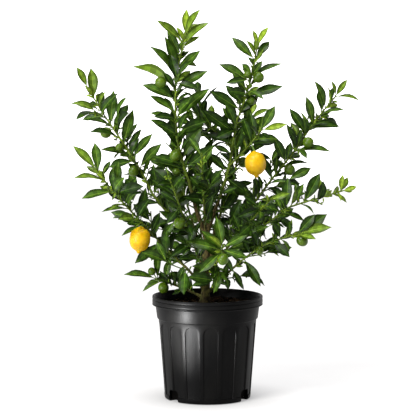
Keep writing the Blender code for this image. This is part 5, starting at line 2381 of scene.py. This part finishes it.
@dataclass
class FruitWork:
    """The lemons and limes with their stalks and calyces.

    Attributes:
        stalk_radius: A stalk's radius.
        calyx: The radius of a lemon's calyx and of a lime's.
        calyx_finish: What the stalks and calyces wear.
        lemon_skin: What the lemons wear.
        lime_skin: What the limes wear.
        fineness: How many rings and segments a lemon has, and a lime.
        lumps: How large and how high the lumps on a fruit are.
        pits: The same of the pits in a lemon's skin.
        lemon_outline: Depths below a lemon's middle and radii there, from its neck to its nipple, as
            shares of half its length and of its radius.
    """
    stalk_radius: float = 0.0013
    calyx: Span = (0.0052, 0.0030)
    calyx_finish: WaxFinish = WaxFinish("calyx_green", (0.085, 0.15, 0.028), 0.6)
    lemon_skin: CitrusSkinFinish = CitrusSkinFinish(
        "lemon_skin", ((0.46, 0.245, 0.002), (0.54, 0.320, 0.003), (0.58, 0.380, 0.008)), (620.0, 0.0004),
        (0.30, 0.42))
    lime_skin: CitrusSkinFinish = CitrusSkinFinish(
        "lime_skin", ((0.030, 0.060, 0.002), (0.052, 0.096, 0.004), (0.085, 0.140, 0.007)), (800.0, 0.0003),
        (0.28, 0.40))
    fineness: tuple[tuple[int, int], tuple[int, int]] = ((60, 64), (14, 22))
    lumps: Span = (0.018, 0.0012)
    pits: Span = (0.0042, 0.0011)
    lemon_outline: tuple[Span, ...] = (
        (-1.0, 0.0), (-0.99, 0.06), (-0.96, 0.105), (-0.915, 0.16), (-0.87, 0.29), (-0.80, 0.49),
        (-0.70, 0.68), (-0.56, 0.845), (-0.38, 0.95), (-0.18, 0.995), (0.02, 1.0), (0.22, 0.975),
        (0.40, 0.89), (0.55, 0.765), (0.655, 0.62), (0.735, 0.46), (0.79, 0.31), (0.845, 0.225),
        (0.91, 0.175), (0.97, 0.10), (1.0, 0.0))

    def profile(self, kind: FruitKind, place: float) -> Span:
        """The radius of a fruit's skin, and its depth below the middle, from its stalk (0) to its tip (1).

        Args:
            kind: What it is.
            place: Where on the skin.

        Returns:
            The radius and the depth.
        """
        across, half = kind.value
        if kind is LEMON:
            last = len(self.lemon_outline) - 1
            step = min(int(place * last), last - 1)
            (upper, narrow), (lower, wide) = self.lemon_outline[step:step + 2]
            share = place * last - step
            return across * mix(narrow, wide, share), half * mix(upper, lower, share)
        turn = math.pi * place
        dent = half * 0.06 * max(0.0, 1.0 - place / 0.10)
        return across * math.sin(turn), -half * math.cos(turn) + dent

    def body(self, kind: FruitKind) -> Object:
        """Model one fruit about its middle, its tip down: a sphere, shaped ring by ring.

        Args:
            kind: What it is.

        Returns:
            The fruit.
        """
        across, _ = kind.value
        rings, segments = self.fineness[kind is not LEMON]
        piece = start(f"{kind.name.lower()}_body", bpy.ops.mesh.primitive_uv_sphere_add,
                      segments=segments, ring_count=rings, radius=across)
        shell = bmesh.from_edit_mesh(piece.data)
        for vertex in shell.verts:
            place = math.acos(max(-1.0, min(1.0, vertex.co.z / across))) / math.pi
            radius, depth = self.profile(kind, place)
            flat = vertex.co.xy.length
            ratio = radius / flat if flat > 1e-6 else 0.0
            vertex.co = vertex.co.x * ratio, vertex.co.y * ratio, -depth
        bmesh.update_edit_mesh(piece.data)
        bpy.ops.mesh.select_all(action="SELECT")
        bpy.ops.mesh.vertices_smooth(factor=0.4)
        add_relief(piece, f"{kind.name.lower()}_lumps", *self.lumps)
        if kind is LEMON:
            add_relief(piece, "lemon_pits", *self.pits)
        shade(piece, 80.0)
        return piece

    def place(self, body: Object, hanging: Hanging, turn: float) -> Object:
        """Copy a fruit to where it hangs.

        Args:
            body: The fruit about its middle.
            hanging: Where it hangs.
            turn: How far it is turned about its own axis.

        Returns:
            The copy, with its place in its mesh.
        """
        mesh = body.data.copy()
        lean = (-UP).rotation_difference(hanging.down).to_matrix().to_4x4()
        mesh.transform(Matrix.Translation(hanging.middle) @ lean @ Matrix.Rotation(turn, 4, "Z"))
        return link_new(body.name, mesh)

    def stalks(self, fruit: list[Hanging]) -> Object:
        """Join the stalks, and the five-pointed calyx on each fruit.

        Args:
            fruit: All the fruit.

        Returns:
            The stalks.
        """
        pile = MeshPile()
        for hanging in fruit:
            across, half = hanging.kind.value
            is_lemon = hanging.kind is LEMON
            top = hanging.middle - hanging.down * half * 0.97
            points = [hanging.root + (top - hanging.root) * step / 3 for step in range(4)]
            points[1] += UP * -0.001
            thick = self.stalk_radius * (1.5 if is_lemon else 1.0)
            pile.add(*tube(points, [thick, thick, thick, thick * 1.5], 6))
            side = hanging.down.orthogonal().normalized()
            size = self.calyx[not is_lemon]
            rim = []
            for step, point in enumerate(circle(Vector(), side, hanging.down.cross(side), 1.0, 10)):
                reach = size * 0.55 if step % 2 else size
                rim.append(top + point * reach + hanging.down * (reach * reach / across * 0.6 - 0.0003))
            pile.add(*spindle(top + hanging.down * size * 0.35, top - hanging.down * size * 0.40, rim))
        return pile.build("fruit_stalks", 45.0)

    def build(self, masses: list[Mass]) -> None:
        """Model, place and dress all the fruit.

        Args:
            masses: The masses that carry it.
        """
        fruit = [hanging for mass in masses for hanging in mass.fruit]
        sorts = (("lemons", self.lemon_skin, (LEMON,)), ("limes", self.lime_skin, (LIME, SMALL)))
        for name, skin, kinds in sorts:
            copies = []
            for kind in kinds:
                body = self.body(kind)
                copies += [self.place(body, hanging, index * 2.4) for index, hanging in enumerate(fruit)
                           if hanging.kind is kind]
                bpy.data.objects.remove(body, do_unlink=True)
            dress(join_pieces(name, copies), [skin], "foliage", *FOLIAGE_NODES)
        dress(self.stalks(fruit), [self.calyx_finish], "foliage", *FOLIAGE_NODES)


# ---------------------------------------------------------------- studio


@dataclass
class Studio:
    """A white studio: floor, soft lights, and the camera at the photograph's angle.

    Attributes:
        distance: How far in front of the pot the camera stands.
        height: The camera's height.
        tilt: How far it looks down, in degrees.
        lens: Its focal length in millimetres.
        sensor: Its sensor's width in millimetres.
        shift: The photograph's framing.
        floor_radius: The round floor's radius.
        wall_gap: How far past the floor the wall of paper stands.
        wall_heights: Where the wall begins, below the floor, and ends.
        floor: What the floor wears.
        wall: What the wall wears.
        sun_power: The broad light's power.
        sun_colour: Its colour.
        sun_angle: How wide it is, in degrees.
        sun_from: Where it comes from.
        world_power: The even light from all sides.
    """
    distance: float = 4.5
    height: float = 0.87
    tilt: float = 5.0
    lens: float = 156.98
    sensor: float = 36.0
    shift: float = 0.0012
    floor_radius: float = 7.0
    wall_gap: float = 0.2
    wall_heights: Span = (-0.5, 1.4)
    floor: PaperFinish = PaperFinish("floor_paper", 0.90, (0.150, 0.149, 0.149), 0.15)
    wall: PaperFinish = PaperFinish("wall_paper", 1.0)
    sun_power: float = 4.2
    sun_colour: Colour = (1.0, 0.98, 0.94)
    sun_angle: float = 16.0
    sun_from: Triple = (-0.42, -0.60, 0.95)
    world_power: float = 0.06

    @classmethod
    def at_depth(cls, point: Vector, depth: float) -> Vector:
        """The point on a point's line of sight from the camera that lies on the plane y = depth."""
        scale = (cls.distance + depth) / (cls.distance + point.y)
        return Vector((point.x * scale, depth, cls.height + (point.z - cls.height) * scale))

    @classmethod
    def seen(cls, point: Vector) -> Vector:
        """Where a point is seen, on the plane y = 0."""
        return cls.at_depth(point, 0.0)

    def paper(self) -> None:
        """Model the paper floor and the wall of paper round it."""
        floor = start("paper_floor", bpy.ops.mesh.primitive_circle_add, vertices=96, radius=self.floor_radius,
                      fill_type="NGON", location=(0.0, 0.0, -0.0004))
        foot, top = self.wall_heights
        wall = start("paper_wall", bpy.ops.mesh.primitive_cylinder_add, vertices=96,
                     radius=self.floor_radius + self.wall_gap, depth=top - foot, end_fill_type="NOTHING",
                     location=(0.0, 0.0, (top + foot) / 2))
        bpy.ops.mesh.flip_normals()
        shade(wall, 60.0)
        floor.data.materials.append(self.floor.material())
        wall.data.materials.append(self.wall.material())

    def lamp(self, name: str, kind: str, power: float, towards: Vector, **settings: object) -> Object:
        """Add a light.

        Args:
            name: The light's name.
            kind: Its type.
            power: Its power.
            towards: The way from what it lights to where it stands.
            **settings: Its own attributes.

        Returns:
            The light.
        """
        lamp = bpy.data.lights.new(name, kind)
        lamp.energy = power
        for key, value in settings.items():
            setattr(lamp, key, value)
        made = link_new(name, lamp)
        made.rotation_euler = towards.to_track_quat("Z", "Y").to_euler()
        return made

    def panel(self, name: str, place: Triple, aim: Triple, size: Span, power: float,
              spread: float = 180.0) -> None:
        """Add an area light.

        Args:
            name: The light's name.
            place: Where it stands.
            aim: What it points at.
            size: Its width and height.
            power: Its power in watts.
            spread: How wide its light fans out, in degrees.
        """
        made = self.lamp(name, "AREA", power, Vector(place) - Vector(aim), shape="RECTANGLE",
                         size=size[0], size_y=size[1], spread=math.radians(spread))
        made.location = place

    def surroundings(self) -> None:
        """Light the studio evenly from all sides."""
        world = bpy.data.worlds.new("white_studio")
        world.use_nodes = True
        background = world.node_tree.nodes["Background"]
        background.inputs["Color"].default_value = (1.0, 1.0, 1.0, 1.0)
        background.inputs["Strength"].default_value = self.world_power
        bpy.context.scene.world = world
        bpy.context.scene.view_settings.view_transform = "Standard"

    def camera(self) -> None:
        """Set the camera up as the photograph's stood."""
        eye = bpy.data.cameras.new("camera")
        eye.lens = self.lens
        eye.sensor_width = self.sensor
        eye.shift_x = self.shift
        made = link_new("camera", eye)
        made.location = (0.0, -self.distance, self.height)
        made.rotation_euler = (math.radians(90.0 - self.tilt), 0.0, 0.0)
        bpy.context.scene.camera = made

    def build(self) -> None:
        """Set up the floor, the lights and the camera."""
        self.paper()
        self.panel("softbox", (-1.50, -1.35, 0.62), (0.0, 0.0, 0.25), (0.40, 0.9), 44.0)
        self.panel("low_strip", (-0.29, -0.295, 0.070), (-0.04, -0.09, 0.20), (0.10, 0.05), 0.62, 44.0)
        self.panel("top", (0.3, -0.2, 2.3), (0.0, 0.0, 0.6), (0.7, 0.7), 20.0)
        self.lamp("broad_key", "SUN", self.sun_power, Vector(self.sun_from), color=self.sun_colour,
                  angle=math.radians(self.sun_angle))
        self.surroundings()
        self.camera()


def main() -> None:
    """Build the tree in its pot and the studio around it."""
    logging.basicConfig(level=logging.INFO, format="%(name)s: %(message)s")
    limbs = Limbs()
    paths = {shoot.name: limbs.path(shoot) for shoot in SHOOTS}
    NurseryPot().build()
    PottingMix().build()
    limbs.build(paths)
    foliage = Foliage(limbs)
    masses = foliage.grow(paths)
    foliage.stems(masses)
    foliage.twigs(masses)
    foliage.leaves(masses)
    FruitWork().build(masses)
    Studio().build()


if __name__ == "__main__":
    main()
